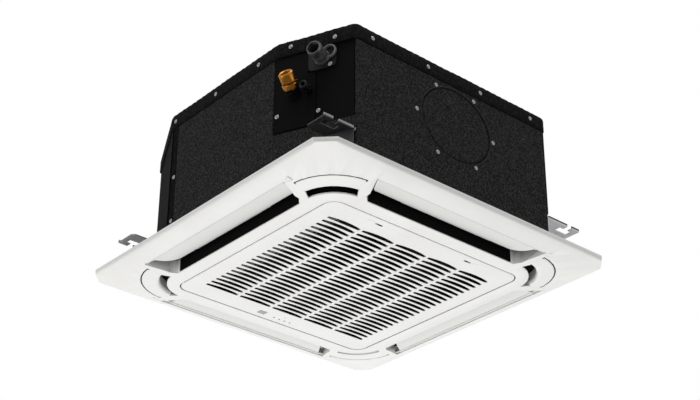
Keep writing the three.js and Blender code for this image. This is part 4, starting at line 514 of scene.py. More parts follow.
def ripple(a, b, size, seed=0.0):
    """A soft unevenness between -1 and 1: five crossed sine waves whose lengths are shares of one size."""
    total = 0.0
    for k in range(1, 6):
        turn = 1.7 * k + seed
        total = total + np.sin((np.cos(turn) * a + np.sin(turn) * b) * 2 * np.pi * k / size + seed * k) / k
    return total / 2.3


def edge_profile(length, thickness, radius, count):
    """Places across a slab from its back edge round to its other back edge, with the depth at each:
    up the side, round a quarter circle, along the face in even steps, and back down."""
    turn = np.linspace(0, np.pi / 2, 5)
    side = radius * (1 - np.cos(turn)), thickness - radius + radius * np.sin(turn)
    inner = np.linspace(radius, length - radius, count)[1:-1]
    places = np.concatenate([[0.0], side[0], inner, length - side[0][::-1], [length]])
    depths = np.concatenate([[0.0], side[1], np.full(len(inner), thickness), side[1][::-1], [0.0]])
    return places, depths


def slab(start, end, z0, z1, back, thickness, seed, step=4.0, radius=1.6, dent=None, wave=0.35):
    """A cut foam sheet on an upright face: depth is the lesser of its two edge profiles, plus a ripple.
    dent(along, up) may press a groove into the face."""
    start, end = np.append(start, z0), np.append(end, z0)
    length = np.linalg.norm(end - start)
    along = (end - start) / length
    up = np.array([0.0, 0.0, 1.0])
    out = np.cross(along, up)
    s, ds = edge_profile(length, thickness, radius, max(8, int(length / step)))
    h, dh = edge_profile(z1 - z0, thickness, radius, max(6, int((z1 - z0) / step)))
    grid_s, grid_h = np.meshgrid(s, h, indexing="ij")
    depth = np.minimum(ds[:, None], dh[None, :])
    face = depth >= thickness - 1e-6
    depth = depth + np.where(face, wave * (ripple(grid_s, grid_h, 160.0, seed) - 1.0) * 0.5, 0.0)
    if dent is not None:
        depth = depth - np.where(face, dent(grid_s, grid_h), 0.0)
    points = start + grid_s[..., None] * along + grid_h[..., None] * up + (back + depth)[..., None] * out
    rows, columns = grid_s.shape
    faces = grid_faces(rows, columns).tolist()
    index = np.arange(rows * columns).reshape(rows, columns)
    rim = np.concatenate([index[:, 0], index[-1, 1:], index[-2::-1, -1], index[0, -2:0:-1]])
    return points, faces + [rim.tolist()]


# ---------------- the body's foam

JACKET = 4.7
JACKET_BACK = 280.3
JACKET_LOW, JACKET_HIGH = 3.0, 230.6
OVAL_AT = (-6.0, 155.0)
OVAL_HALF = (78.0, 67.0)
OVAL_MEAN = 72.0
BAND_BOTTOM = 231.2
SEAM_Y = 124.0

FRONT = ((-226.0, -JACKET_BACK), (209.3, -JACKET_BACK))
RIGHT = ((JACKET_BACK, -138.0), (JACKET_BACK, 138.0))
BACK = ((209.3, JACKET_BACK), (-209.3, JACKET_BACK))
LEFT = ((-JACKET_BACK, SEAM_Y), (-JACKET_BACK, -147.0))
OUTLINE = np.array([
    [-226, -285], [209, -285], [285, -138], [285, 138], [209, 285], [-209, 285], [-285, 138], [-285, -147],
], float)


def oval_groove(along, up):
    """A cut line about 3 mm wide and deep round the knock-out, with a lip 0.5 mm proud just outside it:
    both fall off with distance from the oval."""
    a = (along + FRONT[0][0] - OVAL_AT[0]) / OVAL_HALF[0]
    b = (up + JACKET_LOW - OVAL_AT[1]) / OVAL_HALF[1]
    distance = (np.sqrt(a * a + b * b) - 1.0) * OVAL_MEAN
    return 3.4 * np.exp(-((distance / 1.7) ** 4)) - 0.5 * np.exp(-(((distance - 3.6) / 1.4) ** 2))


def add_jacket():
    """The foam sheets glued on the four main faces, the knock-out's oval cut in the front one."""
    make_piece(
        "foam_jacket_front",
        [slab(*FRONT, JACKET_LOW, JACKET_HIGH, 0.0, JACKET, 0.3, step=1.3, dent=oval_groove)],
        FOAM, "unit", "foam", ("side_foam_front", "duct_knockout"), 60.0,
    )
    for name, line, seed in (("right", RIGHT, 1.1), ("back", BACK, 2.3), ("left", LEFT, 3.7)):
        sheet = slab(*line, JACKET_LOW, JACKET_HIGH, 0.0, JACKET, seed)
        make_piece("foam_jacket_" + name, [sheet], FOAM, "unit", "foam", ("side_foam_" + name,), 60.0)


def add_knockout_edge():
    """A thin lip round the knock-out: a small circle carried along the oval, just proud of the foam, in
    lighter foam as a painted highlight.
    """
    turn = full_turn(96)
    ring = full_turn(8)
    lip = 0.9 * np.cos(ring)[None, :]
    x = OVAL_AT[0] + (OVAL_HALF[0] + 2.6 + lip) * np.cos(turn)[:, None]
    z = OVAL_AT[1] + (OVAL_HALF[1] + 2.6 + lip) * np.sin(turn)[:, None]
    y = FRONT[0][1] - JACKET + 0.2 - 0.8 * np.sin(ring)[None, :] + 0.0 * x
    make_piece("knockout_lip", [looped(np.stack([x, y, z], -1))], LIP_PAINTED_HIGHLIGHT, smooth_below=60.0)


def add_corner_posts():
    """Dark skin folded round the three corners without piping: slabs on each cut face, and one on the left
    face up to the seam where the foam sheet ends."""
    strips = []
    for seed, (k, low) in enumerate(((1, (56.0, 164.6)), (3, (0.8, 109.0)), (5, (56.0, 164.6)))):
        a, b = OUTLINE[k], OUTLINE[k + 1]
        way = (b - a) / np.linalg.norm(b - a)
        for (near, far), z0, z1 in (((0.8, 164.6), 66.0, 230.4), (low, 3.2, 65.9)):
            ends = a + way * near, a + way * far
            strips.append(slab(*ends, z0, z1, 0.3, 1.3, 0.5 + seed, step=6.0, radius=0.4, wave=0.15))
    ends = (-JACKET_BACK, 137.6), (-JACKET_BACK, SEAM_Y + 0.4)
    strips.append(slab(*ends, 3.2, 230.4, 0.0, 4.6, 0.9, step=5.0, radius=0.8, wave=0.1))
    make_piece("corner_posts", strips, SKIN, smooth_below=60.0)


def outline_loop(push, step=5.0, corner=3.0):
    """Points evenly along the body's eight-sided outline, each side pushed outwards by its own amount, each
    corner cut off a little."""
    sides = np.roll(OUTLINE, -1, 0) - OUTLINE
    sides /= np.linalg.norm(sides, axis=1)[:, None]
    normals = np.stack([sides[:, 1], -sides[:, 0]], 1)
    offsets = (normals * OUTLINE).sum(1) + push
    corners = [np.linalg.solve(normals[[i - 1, i]], offsets[[i - 1, i]]) for i in range(len(OUTLINE))]
    points = []
    for a, b in zip(corners, [*corners[1:], corners[0]]):
        length = np.linalg.norm(b - a)
        share = np.linspace(corner / length, 1 - corner / length, max(4, int(length / step)))
        points.append(a + share[:, None] * (b - a))
    return np.concatenate(points)


def add_band_and_top():
    """The darker foam band round the lid, and the foam on the lid, whose cut edges waver by a millimetre."""
    outer = outline_loop(np.array([1.5, 4.5] * 4))
    count = len(outer)
    outward = outer / np.linalg.norm(outer, axis=1)[:, None]
    run = np.arange(count) * 5.0
    wobble = ripple(run, run * 0.3, 190.0, 0.8)
    # The band's section: inner bottom, outer bottom, up the outside, over the top edge, inner top.
    section = [
        (-4.2, 0.0), (-0.9, 0.0), (0.0, 0.9), (0.1, 8.0),
        (0.0, 16.0), (0.1, 23.0), (-0.6, 24.6), (-4.2, 24.6),
    ]
    rings = []
    for push, rise in section:
        shift = push + 0.25 * wobble * (0.5 < rise < 24) - 0.3
        rings.append(at_height(outer + outward * shift[:, None], BAND_BOTTOM + rise))
    make_piece("foam_band", [looped(np.stack(rings))], BAND_FOAM, "unit", "foam", ("rim_foam",), 50.0)
    levels = [
        (-2.0, 256.3, 0.0), (-0.3, 256.6, 0.0), (-0.1, 258.0, 0.3), (-0.6, 259.4, 0.6), (-2.2, 259.9, 0.0),
    ]
    rings = []
    teeth = 1.3 * np.abs((run / 14.0) % 1.0 * 2.0 - 1.0)
    for push, z, waver in levels:
        shift = push + 0.5 * wobble - 0.8
        drop = waver * 0.5 * (1 - wobble) + teeth * (z > 257.0)
        rings.append(at_height(outer + outward * shift[:, None], z - drop))
    make_piece("foam_lid_sheet", [swept(np.stack(rings))], FOAM, "unit", "foam", ("top_foam",), 50.0)


# ---------------- piping corner

PIPE_CORNER = OUTLINE[0]
PIPE_ALONG = (OUTLINE[-1] - PIPE_CORNER) / np.linalg.norm(OUTLINE[-1] - PIPE_CORNER)
PIPE_OUT = np.array([-PIPE_ALONG[1], PIPE_ALONG[0]])


def on_pipe_face(along, height, out=0.0):
    """The point at a distance along the piping face from its front edge, a height, and a distance out."""
    return np.append(PIPE_CORNER + PIPE_ALONG * along + PIPE_OUT * out, height)


def add_corner_foam():
    """Foam strips on the lower part of the piping face, cut round the hanger's tab."""
    places = ((55.0, 149.0, 3.4, 84.0, 0.4), (1.0, 53.0, 3.4, 25.5, 1.9), (1.0, 53.0, 63.0, 84.0, 2.6))
    strips = [
        slab(on_pipe_face(high, 0)[:2], on_pipe_face(low, 0)[:2], z0, z1, 0.3, 3.4, seed, wave=0.3)
        for low, high, z0, z1, seed in places
    ]
    make_piece("corner_foam", strips, FOAM, smooth_below=60.0)


def add_flare_fitting(name, node, finish, centre, axis, across, length, bore):
    """A flare fitting: a chamfered hexagon near the wall, a dark groove, and a smooth barrel whose rounded
    mouth shows its bore; profiles of (radius, height) turned about the fitting's axis."""
    unit = length / 33.0
    neck = across * 0.34
    barrel = across * 0.5
    corner = across / 2 / np.cos(np.pi / 6)
    body = [
        (bore, 0.0), (neck, 0.0), (neck, 15.4), (barrel - 0.9, 15.8), (barrel, 17.0), (barrel, 29.8),
        (barrel - 0.8, 31.8), (barrel - 2.4, 33.0), (bore + 2.6, 33.0), (bore + 0.8, 32.0),
        (bore, 29.5), (bore, 0.0),
    ]
    nut = [
        (neck - 0.4, 4.6), (corner * 0.86, 4.6), (corner * 0.95, 6.0), (corner * 0.95, 12.8),
        (corner * 0.86, 14.2), (neck - 0.4, 14.2), (neck - 0.4, 4.6),
    ]
    body, nut = ([(r, h * unit) for r, h in profile] for profile in (body, nut))
    shapes = [turned(body, centre, axis, 40), turned(nut, centre, axis, 72, hexagon(across))]
    make_piece(name, shapes, finish, "unit", "brass", (node,), 32.0)


def add_piping():
    """The gas and liquid fittings and the drain stub that stand out of the piping face."""
    tilt = np.radians(35.0)
    gas_axis = np.append(PIPE_OUT * np.cos(tilt), np.sin(tilt))
    gas_base = on_pipe_face(111.0, 157.0, 6.35) + gas_axis
    add_flare_fitting("gas_fitting", "gas_flare_union", BRASS, gas_base, gas_axis, 26.0, 33.0, 7.4)
    sleeve = [
        (8.9, -14.0), (11.6, -14.0), (12.0, -2.0), (11.6, 2.8),
        (10.8, 4.0), (9.6, 4.3), (8.9, 3.8), (8.9, -14.0),
    ]
    make_piece("gas_pipe_sleeve", [turned(sleeve, gas_base, gas_axis)], LINING_AND_SHADE)
    out = np.append(PIPE_OUT, 0.0)
    add_flare_fitting(
        "liquid_fitting", "liquid_flare_union", NEAR_BLACK_STEEL,
        on_pipe_face(84.0, 152.0, 4.0), out, 15.0, 22.0, 3.2,
    )
    base = on_pipe_face(61.0, 209.0, 0.3)
    stub = [
        (10.0, -12.0), (12.3, -12.0), (12.4, 3.0), (14.6, 3.0), (14.2, 5.0), (12.3, 7.0), (12.3, 14.0),
        (12.7, 15.0), (12.7, 16.6), (12.3, 17.6), (12.3, 21.0), (12.7, 22.0), (12.7, 23.6), (12.3, 24.6),
        (12.3, 28.6), (13.2, 29.8), (13.2, 31.2), (12.5, 33.4), (12.1, 34.9), (11.4, 35.2), (10.3, 35.0),
        (10.0, 34.0), (9.2, 31.0), (9.2, 26.0), (10.0, 24.0), (10.0, -12.0),
    ]
    make_piece("drain_stub", [turned(stub, base, out, 40)], SMOKY, "unit", "grey_plastic", ("drain_socket",))
    flange = rounded_plate(61.0, 209.0, 50.0, 42.0, 0.3, 3.2, 12.6)
    make_piece("drain_flange", [flange], BLACK_PLASTIC_AND_SHADE, "unit", "grey_plastic", ("drain_socket",), 30.0)
    clip = [
        (9.6, 0.2), (12.0, 0.2), (12.4, 0.8), (12.4, 4.6),
        (11.8, 5.4), (10.2, 5.4), (9.6, 4.6), (9.6, 0.2),
    ]
    clip = turned(clip, on_pipe_face(47.0, 215.5, 3.2), out, 36)
    make_piece("drain_strap", [clip], STRAP, "unit", "grey_plastic")


def rounded_plate(at, height, width, tall, z0, z1, bore, power=7.0):
    """A plate on the piping face with a round hole: rings from hole to rim, front and back. Its rim is a
    superellipse of a high power, which gives it round corners."""
    angle = full_turn(96)
    direction = np.stack([np.cos(angle), np.sin(angle)], 1)
    reach = (np.abs(direction / (width / 2, tall / 2)) ** power).sum(1) ** (-1 / power)
    rings = []
    for share, lift in ((0.0, z0), (1.0, z0), (1.0, z1 - 0.5), (0.985, z1), (0.0, z1)):
        plane = direction * (bore + (reach - bore) * share)[:, None]
        plan = PIPE_CORNER + PIPE_ALONG * (at + plane[:, :1]) + PIPE_OUT * lift
        rings.append(at_height(plan, height + plane[:, 1]))
    return looped(np.stack(rings))


# ---------------- screws

SCREW_SIZE = 0.66
SCREW_PROFILE = [
    (0.0, 1.5), (0.9, 1.5), (1.3, 2.3), (2.6, 2.7), (3.6, 2.2), (4.0, 1.2),
    (5.4, 0.9), (5.8, 0.5), (5.8, 0.0), (0.0, 0.0),
]


def screw(centre, out):
    """A pan-head screw with a washer face and a driver recess, turned about the wall's normal."""
    profile = [(max(radius, 0.02) * SCREW_SIZE, height * SCREW_SIZE) for radius, height in SCREW_PROFILE]
    return turned(profile, centre, out, 18)


def add_screws():
    """Screws of body and band, where the photograph shows them; the unseen sides have their own rows."""
    front = np.array([0.0, -1.0, 0.0])
    left = np.array([-1.0, 0.0, 0.0])
    oval = [(-50.6, 217.0), (37.6, 221.0), (-95.8, 152.0), (80.8, 156.0), (-50.7, 87.0), (36.9, 90.0)]
    on_pipe = [
        (118.6, 246.6, 4.4), (38.0, 242.2, 4.4),
        (142.0, 118.5, 1.6), (67.3, 111.0, 1.6), (5.4, 60.7, 0.4), (46.5, 193.0, 3.4),
    ]
    rows = [
        (front, [(x, -284.8, z) for x, z in oval]),
        (front, [(x, -286.3, 244.5) for x in (-193.2, -69.4, 53.2, 177.0)]),
        (left, [(-286.3, y, 243.5) for y in (-104.6, 14.5, 132.4)]),
        (-left, [(286.3, y, 244.0) for y in (-110.0, 0.0, 110.0)]),
        (-front, [(x, 286.3, 244.0) for x in (-185.0, -62.0, 62.0, 185.0)]),
        (left, [(-284.9, 129.0, z) for z in (129.0, 43.0)]),
        (np.append(PIPE_OUT, 0.0), [on_pipe_face(*place) for place in on_pipe]),
    ]
    screws = [screw(place, out) for out, places in rows for place in places]
    make_piece("case_screws", screws, SCREW_STEEL, "unit", "steel", (), 35.0)


# ---------------- filter net


def add_filter_net():
    """The filter's net: flat threads 0.4 mm wide in two directions, 4 mm apart."""
    low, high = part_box("air_filter")
    x0, x1 = low.x / MM + 6.0, high.x / MM - 6.0
    y0, y1 = low.y / MM + 6.0, high.y / MM - 6.0
    z, half, apart = low.z / MM + 2.2, 0.2, 4.0
    threads = [brick(x - half, x + half, y0, y1, z - half, z + half) for x in np.arange(x0 + 2.0, x1, apart)]
    z += 0.35
    threads += [brick(x0, x1, y - half, y + half, z - half, z + half) for y in np.arange(y0 + 2.0, y1, apart)]
    make_piece("filter_net", threads, BLACK_PLASTIC_AND_SHADE, "grille", "black_plastic")


# ---------------- panel: grille, covers, vanes, linings


def with_corner_steps(points):
    """The panel's points with the bend in each outlet's end walls moved nearer the outlet's inner corner."""
    moved = points.copy()
    for along, across in ((0, 1), (1, 0)):
        far, wide = np.abs(points[:, across]), np.abs(points[:, along])
        bend = (np.abs(far - 253.0) < 1.2) & (np.abs(wide - 174.2) < 2.4)
        moved[bend, across] -= np.sign(points[bend, across]) * 3.5
        moved[bend, along] += np.sign(points[bend, along]) * 1.5
    return moved


def is_rim_edge(a, b):
    """Whether an edge is the lower edge of the panel's rim along a straight side."""
    low = all(abs(point[2] + 8.0) < 0.3 for point in (a, b))
    return low and any(all(abs(abs(point[i]) - PANEL_HALF) < 0.2 for point in (a, b)) for i in (0, 1))


def with_low_flange(points):
    """A hanger's points with its upturned flange at a little over half its height."""
    moved = points.copy()
    moved[:, 2] = np.where(points[:, 2] > 61.2, 61.0 + (points[:, 2] - 61.0) * 0.55, points[:, 2])
    return moved


PANEL_HALF = 323.5
RIM_RADIUS = 4.2
FACE_Z = -29.0
PLATE_TOP = -26.5
RIM_TOP = -19.0
GRILLE_HALF = np.array([211.5, 211.5])
GRILLE_CORNER = 22.0
GRILLE_SLACK = 0.8  # the plate is this much smaller all round than its solid, so its gap reads dark, with a strip of painted shade in it
SLOT_PITCH = np.array([73.0, 14.15])
SLOT_COUNT = (5, 24)
SLOT_HALF = (34.0, 4.6)
SLOT_ARCH = 3.8
SLOT_LEAN = 2.8  # the slots' walls lean this far back through the plate
HINGE_AT = (189.5, -26.6)
PIN_FROM = 201.5
LATCH_X = 100.0
PAD_X = 117.5
LUG_FROM, LUG_TO = 102.5, 119.5


def quarter_turn(shape, k):
    """A shape turned by k quarter turns about the upright axis."""
    points, faces = shape
    x, y, z = np.moveaxis(np.asarray(points, float), -1, 0)
    x, y = [(x, y), (-y, x), (-x, -y), (y, -x)][k]
    return np.stack([x, y, z], -1), faces


def brick(x0, x1, y0, y1, z0, z1):
    """A small straight block, as the corners of its lower and upper face."""
    ring = np.array([[x0, y0], [x1, y0], [x1, y1], [x0, y1]])
    return swept(np.stack([at_height(ring, z0), at_height(ring, z1)]))


def grille_outline(inset):
    """The grille's round-cornered outline, with extra points where its rim opens for the panel's lugs."""
    half = GRILLE_HALF - GRILLE_SLACK - inset
    radius = GRILLE_CORNER - GRILLE_SLACK - inset
    turn = np.linspace(0, np.pi / 2, 10)[None, :] + np.arange(4)[:, None] * np.pi / 2
    centres = (half - radius) * np.array([[1, 1], [-1, 1], [-1, -1], [1, -1]])
    corners = centres[:, None, :] + radius * np.stack([np.cos(turn), np.sin(turn)], -1)
    steps = np.array([LUG_FROM - 0.05, LUG_FROM + 0.05, LUG_TO - 0.05, LUG_TO + 0.05])
    front_x = np.concatenate([-steps[::-1], steps])
    front = np.column_stack([front_x, np.full(len(front_x), -half[1])])
    return np.concatenate([corners[:3].reshape(-1, 2), front, corners[3]])


def slot_outline(centre, grow, back):
    """One intake slot: a parabola along its front edge and a straight back edge with blunt corners."""
    share = np.linspace(-1, 1, 9)
    half, wide = SLOT_HALF[0] + grow, SLOT_HALF[1] + grow
    front = np.column_stack([half * share, -wide + SLOT_ARCH * share**2])
    rear = np.array([[half, wide - 1.2], [half - 1.2, wide], [1.2 - half, wide], [-half, wide - 1.2]])
    return np.concatenate([front, rear]) + centre + (0.0, back)


def block_outline(centre, size, grow, _back):
    """A rectangle about a centre, the same at every depth."""
    corner = np.array([[-1, -1], [1, -1], [1, 1], [-1, 1]])
    return corner * (np.array(size) / 2 + grow) + centre


def hole_outline(centre, radius, grow, _back):
    """A circle about a centre, the same at every depth."""
    turn = full_turn(12)
    return (radius + grow) * np.stack([np.cos(turn), np.sin(turn)], -1) + centre


def filled(loops, z):
    """A flat face at one height inside the first loop and outside the others, cut into triangles."""
    triangles = tessellate_polygon([[(x, y, 0.0) for x, y in loop.tolist()] for loop in loops])
    return at_height(np.concatenate(loops), z), [list(corner) for corner in triangles]


def add_grille():
    """The intake grille: two flat faces with the same openings, walls that join them with a small chamfer
    below, an upstanding rim, filter ribs, hinge pins and latch guides."""
    middle = (np.array(SLOT_COUNT) - 1) / 2
    column, row = np.meshgrid(np.arange(SLOT_COUNT[0]), np.arange(SLOT_COUNT[1]), indexing="ij")
    places = (np.stack([column.ravel(), row.ravel()], -1) - middle) * SLOT_PITCH + (1.0, -0.5)
    openings = [(slot_outline, (place,)) for place in places]
    openings += [(block_outline, ((side * LATCH_X, -195.0), (15.0, 3.4))) for side in (-1, 1)]
    openings += [(block_outline, ((-34.5, 192.3), (16.0, 13.0))), (hole_outline, ((12.0, 185.0), 2.2))]
    openings += [(hole_outline, ((-4.6 + 12.1 * i, 196.4), 1.8)) for i in range(4)]
    # Each level of the openings' walls: how much wider, how far back, and its height.
    levels = [(0.3, 0.0, FACE_Z), (0.0, 0.2, FACE_Z + 0.3), (0.0, SLOT_LEAN, PLATE_TOP)]
    walls = [
        tube_wall([at_height(outline(*facts, grow, back), z) for grow, back, z in levels])
        for outline, facts in openings
    ]
    rim = grille_outline(0.0)
    lug_gap = (rim[:, 1] < -190) & (abs(rim[:, 0]) > LUG_FROM) & (abs(rim[:, 0]) < LUG_TO)
    rim_top = np.where(lug_gap, PLATE_TOP + 0.1, RIM_TOP)
    sections = [
        (1.4, FACE_Z), (0.5, FACE_Z + 0.25), (0.0, FACE_Z + 1.0),
        (0.0, rim_top), (2.0, rim_top), (2.0, PLATE_TOP),
    ]
    border = tube_wall([at_height(grille_outline(inset), z) for inset, z in sections])
    faces = []
    for inset, (grow, back, z) in ((1.4, levels[0]), (2.0, levels[-1])):
        holes = [outline(*facts, grow, back) for outline, facts in openings]
        faces.append(filled([grille_outline(inset), *holes], z))
    look = WHITE, "grille", "white_plastic"
    make_piece("grille_plate", [*faces, border, *walls], *look, ("intake_grille",), 32.0)
    pin = [
        (0.02, 0.0), (2.3, 0.0), (2.3, 9.8), (1.9, 10.2),
        (1.2, 10.2), (1.2, 14.6), (0.9, 15.0), (0.02, 15.0),
    ]
    inner = [brick(x - 1, x + 1, -180.0, 174.0, -26.7, -23.3) for x in (-108.5, -35.5, 37.5, 110.5)]
    pads = []
    for side in (-1, 1):
        x, pad = side * LATCH_X, side * PAD_X
        inner.append(brick(x - 6, x + 6, -189.2, -187.7, -26.7, -22.3))
        inner.append(brick(x - 6, x + 6, -191.7, -187.8, -23.4, -22.3))
        pads.append(brick(pad - 6.5, pad + 6.5, -199.0, -193.0, -29.35, -28.8))
    for side in (-1, 1):
        inner.append(turned(pin, (side * PIN_FROM, *HINGE_AT), (side, 0.0, 0.0), 20))
    make_piece("grille_latch_pads", pads, *look, (), 32.0)
    make_piece("grille_ribs", inner, *look, ("intake_grille",), 32.0)


COVER_ARC = (271.0, 89.3)  # centre's distance from the unit's middle along the diagonal, and radius
SLOT_ARC = (259.5, 67.0)  # the same for the wall of the arc slot
COVER_ENDS = (40.95, 36.45)  # degrees that the outer and the inner arc reach on either side
COVER_LOW, COVER_HIGH = -25.4, -20.0  # heights of the face at the arc slot and at the outer edge
COVER_TOP = -3.5  # height at which the rolled edge's wall ends
COVER_THICK = 1.8
COVER_GROOVE = 2.6  # width of the joint along the outer edge, made dark by a strip of painted shade
COVER_ROLL = 9.0  # radius of the rolled edge


def on_diagonal(u, v, z):
    """Points given along and across the diagonal through the back right corner."""
    return np.stack([(u - v) / 2**0.5, (u + v) / 2**0.5, z + 0.0 * u], -1)


def across_cover(share, distance, lift):
    """Points of a corner cover: a share of the way along the arc, a distance from the arc slot's wall, and a
    lift from the sloping face, which rises evenly from the slot's arc to the outer one."""
    outer = np.radians(COVER_ENDS[0] * share)
    inner = np.radians(COVER_ENDS[1] * share)
    far = np.stack([COVER_ARC[0] + COVER_ARC[1] * np.cos(outer), COVER_ARC[1] * np.sin(outer)], -1)
    near = np.stack([SLOT_ARC[0] + SLOT_ARC[1] * np.cos(inner), SLOT_ARC[1] * np.sin(inner)], -1)
    length = np.linalg.norm(far - near, axis=-1)
    plan = near + (far - near) * (distance / length)[..., None]
    z = COVER_LOW + (COVER_HIGH - COVER_LOW) * distance / length + lift
    return on_diagonal(plan[..., 0], plan[..., 1], z), length


def cover_strip(share, inner, outer, top, k):
    """A strip of square section along a corner cover's outer edge, between two distances inside that edge and
    from 0.7 mm above the cover's face up to its top."""
    width = across_cover(share, 0.0, 0.0)[1]
    section = [(inner, 0.7), (outer, 0.7), (outer, top), (inner, top)]
    rings = [across_cover(share, width - inside, lift)[0] for inside, lift in section]
    return quarter_turn(swept(np.stack(rings, 1)), k)


def add_corner_cover(name, k):
    """A corner cover: a sloping plate whose edge rolls up along the arc slot, with a notch at either end of
    its outer edge; its section runs along the arc."""
    share = np.concatenate([[-1.0, -0.956, -0.955], np.linspace(-0.93, 0.93, 47), [0.955, 0.956, 1.0]])
    width = across_cover(share, 0.0, 0.0)[1]
    reach = width - COVER_GROOVE - np.where(np.abs(share) > 0.9555, 2.4, 0.0)
    turn = np.linspace(0, np.pi / 2, 8)
    face = [(reach, 0.6), (reach - 0.2, 0.15), (reach - 0.6, 0.0)]
    face += [(COVER_ROLL + (reach - 0.6 - COVER_ROLL) * f, 0.0) for f in (0.8, 0.6, 0.4, 0.2)]
    face += [(COVER_ROLL * (1 - np.sin(a)), COVER_ROLL * (1 - np.cos(a))) for a in turn]
    walls = [(0.0, 0.0), (1.9, 0.0)]
    back = [(1.9, COVER_ROLL), (2.6, 3.4), (4.4, 2.2), (COVER_ROLL, COVER_THICK), (reach, COVER_THICK)]
    rings = [across_cover(share, distance, lift)[0] for distance, lift in [*face, *walls, *back]]
    for wall in rings[len(face) : len(face) + len(walls)]:
        wall[:, 2] = COVER_TOP
    make_piece(
        "corner_cover_" + name + "_finished", [quarter_turn(swept(np.stack(rings, 1)), k)],
        WHITE, "unit", "white_plastic", ("corner_cover_" + name,), 30.0,
    )


def add_joint_shades():
    """Black strips of painted shade in the joints: one in the groove above each corner cover, one round the
    intake grille, where it is also a seal, and a sheet of painted shade over each arc slot. Each is a small
    section carried along its arc or outline."""
    share = np.linspace(-0.95, 0.95, 40)
    grooves = [cover_strip(share, COVER_GROOVE - 0.1, 0.15, 2.0, k) for k in range(4)]
    make_piece("cover_groove_shades", grooves, LINING_AND_SHADE)
    angle = np.radians(np.linspace(-40, 40, 30))
    rings = [
        on_diagonal(SLOT_ARC[0] + radius * np.cos(angle), radius * np.sin(angle), z)
        for radius, z in ((56.0, -3.2), (70.0, -3.2), (70.0, -2.0), (56.0, -2.0))
    ]
    shade = swept(np.stack(rings, 1))
    make_piece("slot_shades", [quarter_turn(shade, k) for k in range(4)], LINING_AND_SHADE)
    sections = [(-0.1, -28.0), (-1.5, -28.0), (-1.5, -20.0), (-0.1, -20.0)]
    rings = [at_height(grille_outline(inset), z) for inset, z in sections]
    make_piece("grille_seal_shade", [looped(np.stack(rings))], LINING_AND_SHADE, "grille")


def add_cover_notch_shades():
    """Black pieces of painted shade in the notches at the ends of each corner cover."""
    ends = np.array([0.957, 0.996])
    notch_shades = [cover_strip(side * ends, 4.2, 0.1, 2.2, k) for k in range(4) for side in (-1, 1)]
    make_piece("cover_notch_shades", notch_shades, BLACK_PLASTIC_AND_SHADE, "unit", "black_plastic")


SIDES = ("front", "right", "back", "left")  # each a quarter turn on from the one before
VANE_PIVOT = (-288.6, -15.5)
# Each vane's two ends: where the end begins, where it stops, and the power of its curve. The ends by the
# piping corner and by the corner across from it run beside the outlet's slanted wall; the others are rounded.
NEAR_END, FAR_END, ROUND_END = (157.0, 185.5, 1.25), (147.0, 176.5, 1.25), (140.0, 169.0, 2.5)
VANE_ENDS = {
    "front": (NEAR_END, ROUND_END),
    "right": (ROUND_END, FAR_END),
    "back": (FAR_END, ROUND_END),
    "left": (ROUND_END, NEAR_END),
}
VANE_CHORD = 43.4
VANE_STEP = 2.6  # the blade is narrower by this beyond its middle part
VANE_LEAST = 2.6  # width left at the very ends
VANE_TILT = np.radians(11.0)
VANE_BOW = 2.4
VANE_BEAD = 3.0


def add_vane(name, k, finish):
    """An air vane: a thin bowed blade and a round bead along its hinge. Its section runs along the hinge
    line and is cut short where the plan outline steps in and where the ends curve away."""
    halves, pasts = [], []
    for start, end, power in VANE_ENDS[name]:
        share = np.sin(np.linspace(0, np.pi / 2, 18))
        plain = [*np.linspace(0, 98, 12), 99.0, 100.5, 102.0, *np.linspace(106, start - 3, 6)]
        halves.append(np.concatenate([plain, start + (end - start) * share]))
        pasts.append(np.concatenate([np.zeros(len(plain)), share**power]))
    x = np.concatenate([-halves[0][:0:-1], halves[1]])
    past = np.concatenate([pasts[0][:0:-1], pasts[1]])
    inward = np.interp(np.abs(x), [98.0, 102.0], [VANE_CHORD, VANE_CHORD - VANE_STEP])
    chord = np.maximum(inward * (1 - past), VANE_LEAST)
    part = np.linspace(0, 1, 9)
    lower = [(2.0 + (chord - 2.4) * f, -1.1) for f in part]
    edge = [(chord - 0.1, -0.8), (chord, 0.0), (chord - 0.1, 0.8)]
    upper = [(2.0 + (chord - 2.4) * f, 1.1) for f in part[::-1]]
    rings = []
    for along, off in [*lower, *edge, *upper]:
        share = along / VANE_CHORD
        rings.append((along, off - VANE_BOW * 4 * share * (1 - share)))
    for angle in np.radians(np.linspace(60, 300, 11)):
        rings.append((VANE_BEAD * np.cos(angle) + 0.0 * x, VANE_BEAD * np.sin(angle) + 0.0 * x))
    level, lift = np.array(rings).transpose(1, 2, 0)
    y = level * np.cos(VANE_TILT) - lift * np.sin(VANE_TILT) + VANE_PIVOT[0]
    z = level * np.sin(VANE_TILT) + lift * np.cos(VANE_TILT) + VANE_PIVOT[1]
    blade = swept(np.stack([np.broadcast_to(x[:, None], y.shape), y, z], -1))
    shaft_profile = [(0.02, -192.3), (2.0, -192.3), (2.0, 197.5), (0.02, 197.5)]
    shaft = turned(shaft_profile, (0.0, *VANE_PIVOT), (1.0, 0.0, 0.0), 20)
    make_piece(
        "vane_" + name + "_finished", [quarter_turn(blade, k), quarter_turn(shaft, k)],
        finish, "vane_" + name, "white_plastic", ("vane_" + name,), 34.0,
    )


def beside_outlet(x, section, k):
    """A section of (reach from the unit's middle, height) carried along x, at one of the four outlets."""
    grid = np.stack([np.stack([x, 0.0 * x - reach, 0.0 * x + z], -1) for reach, z in section], 1)
    return quarter_turn(swept(grid), k)


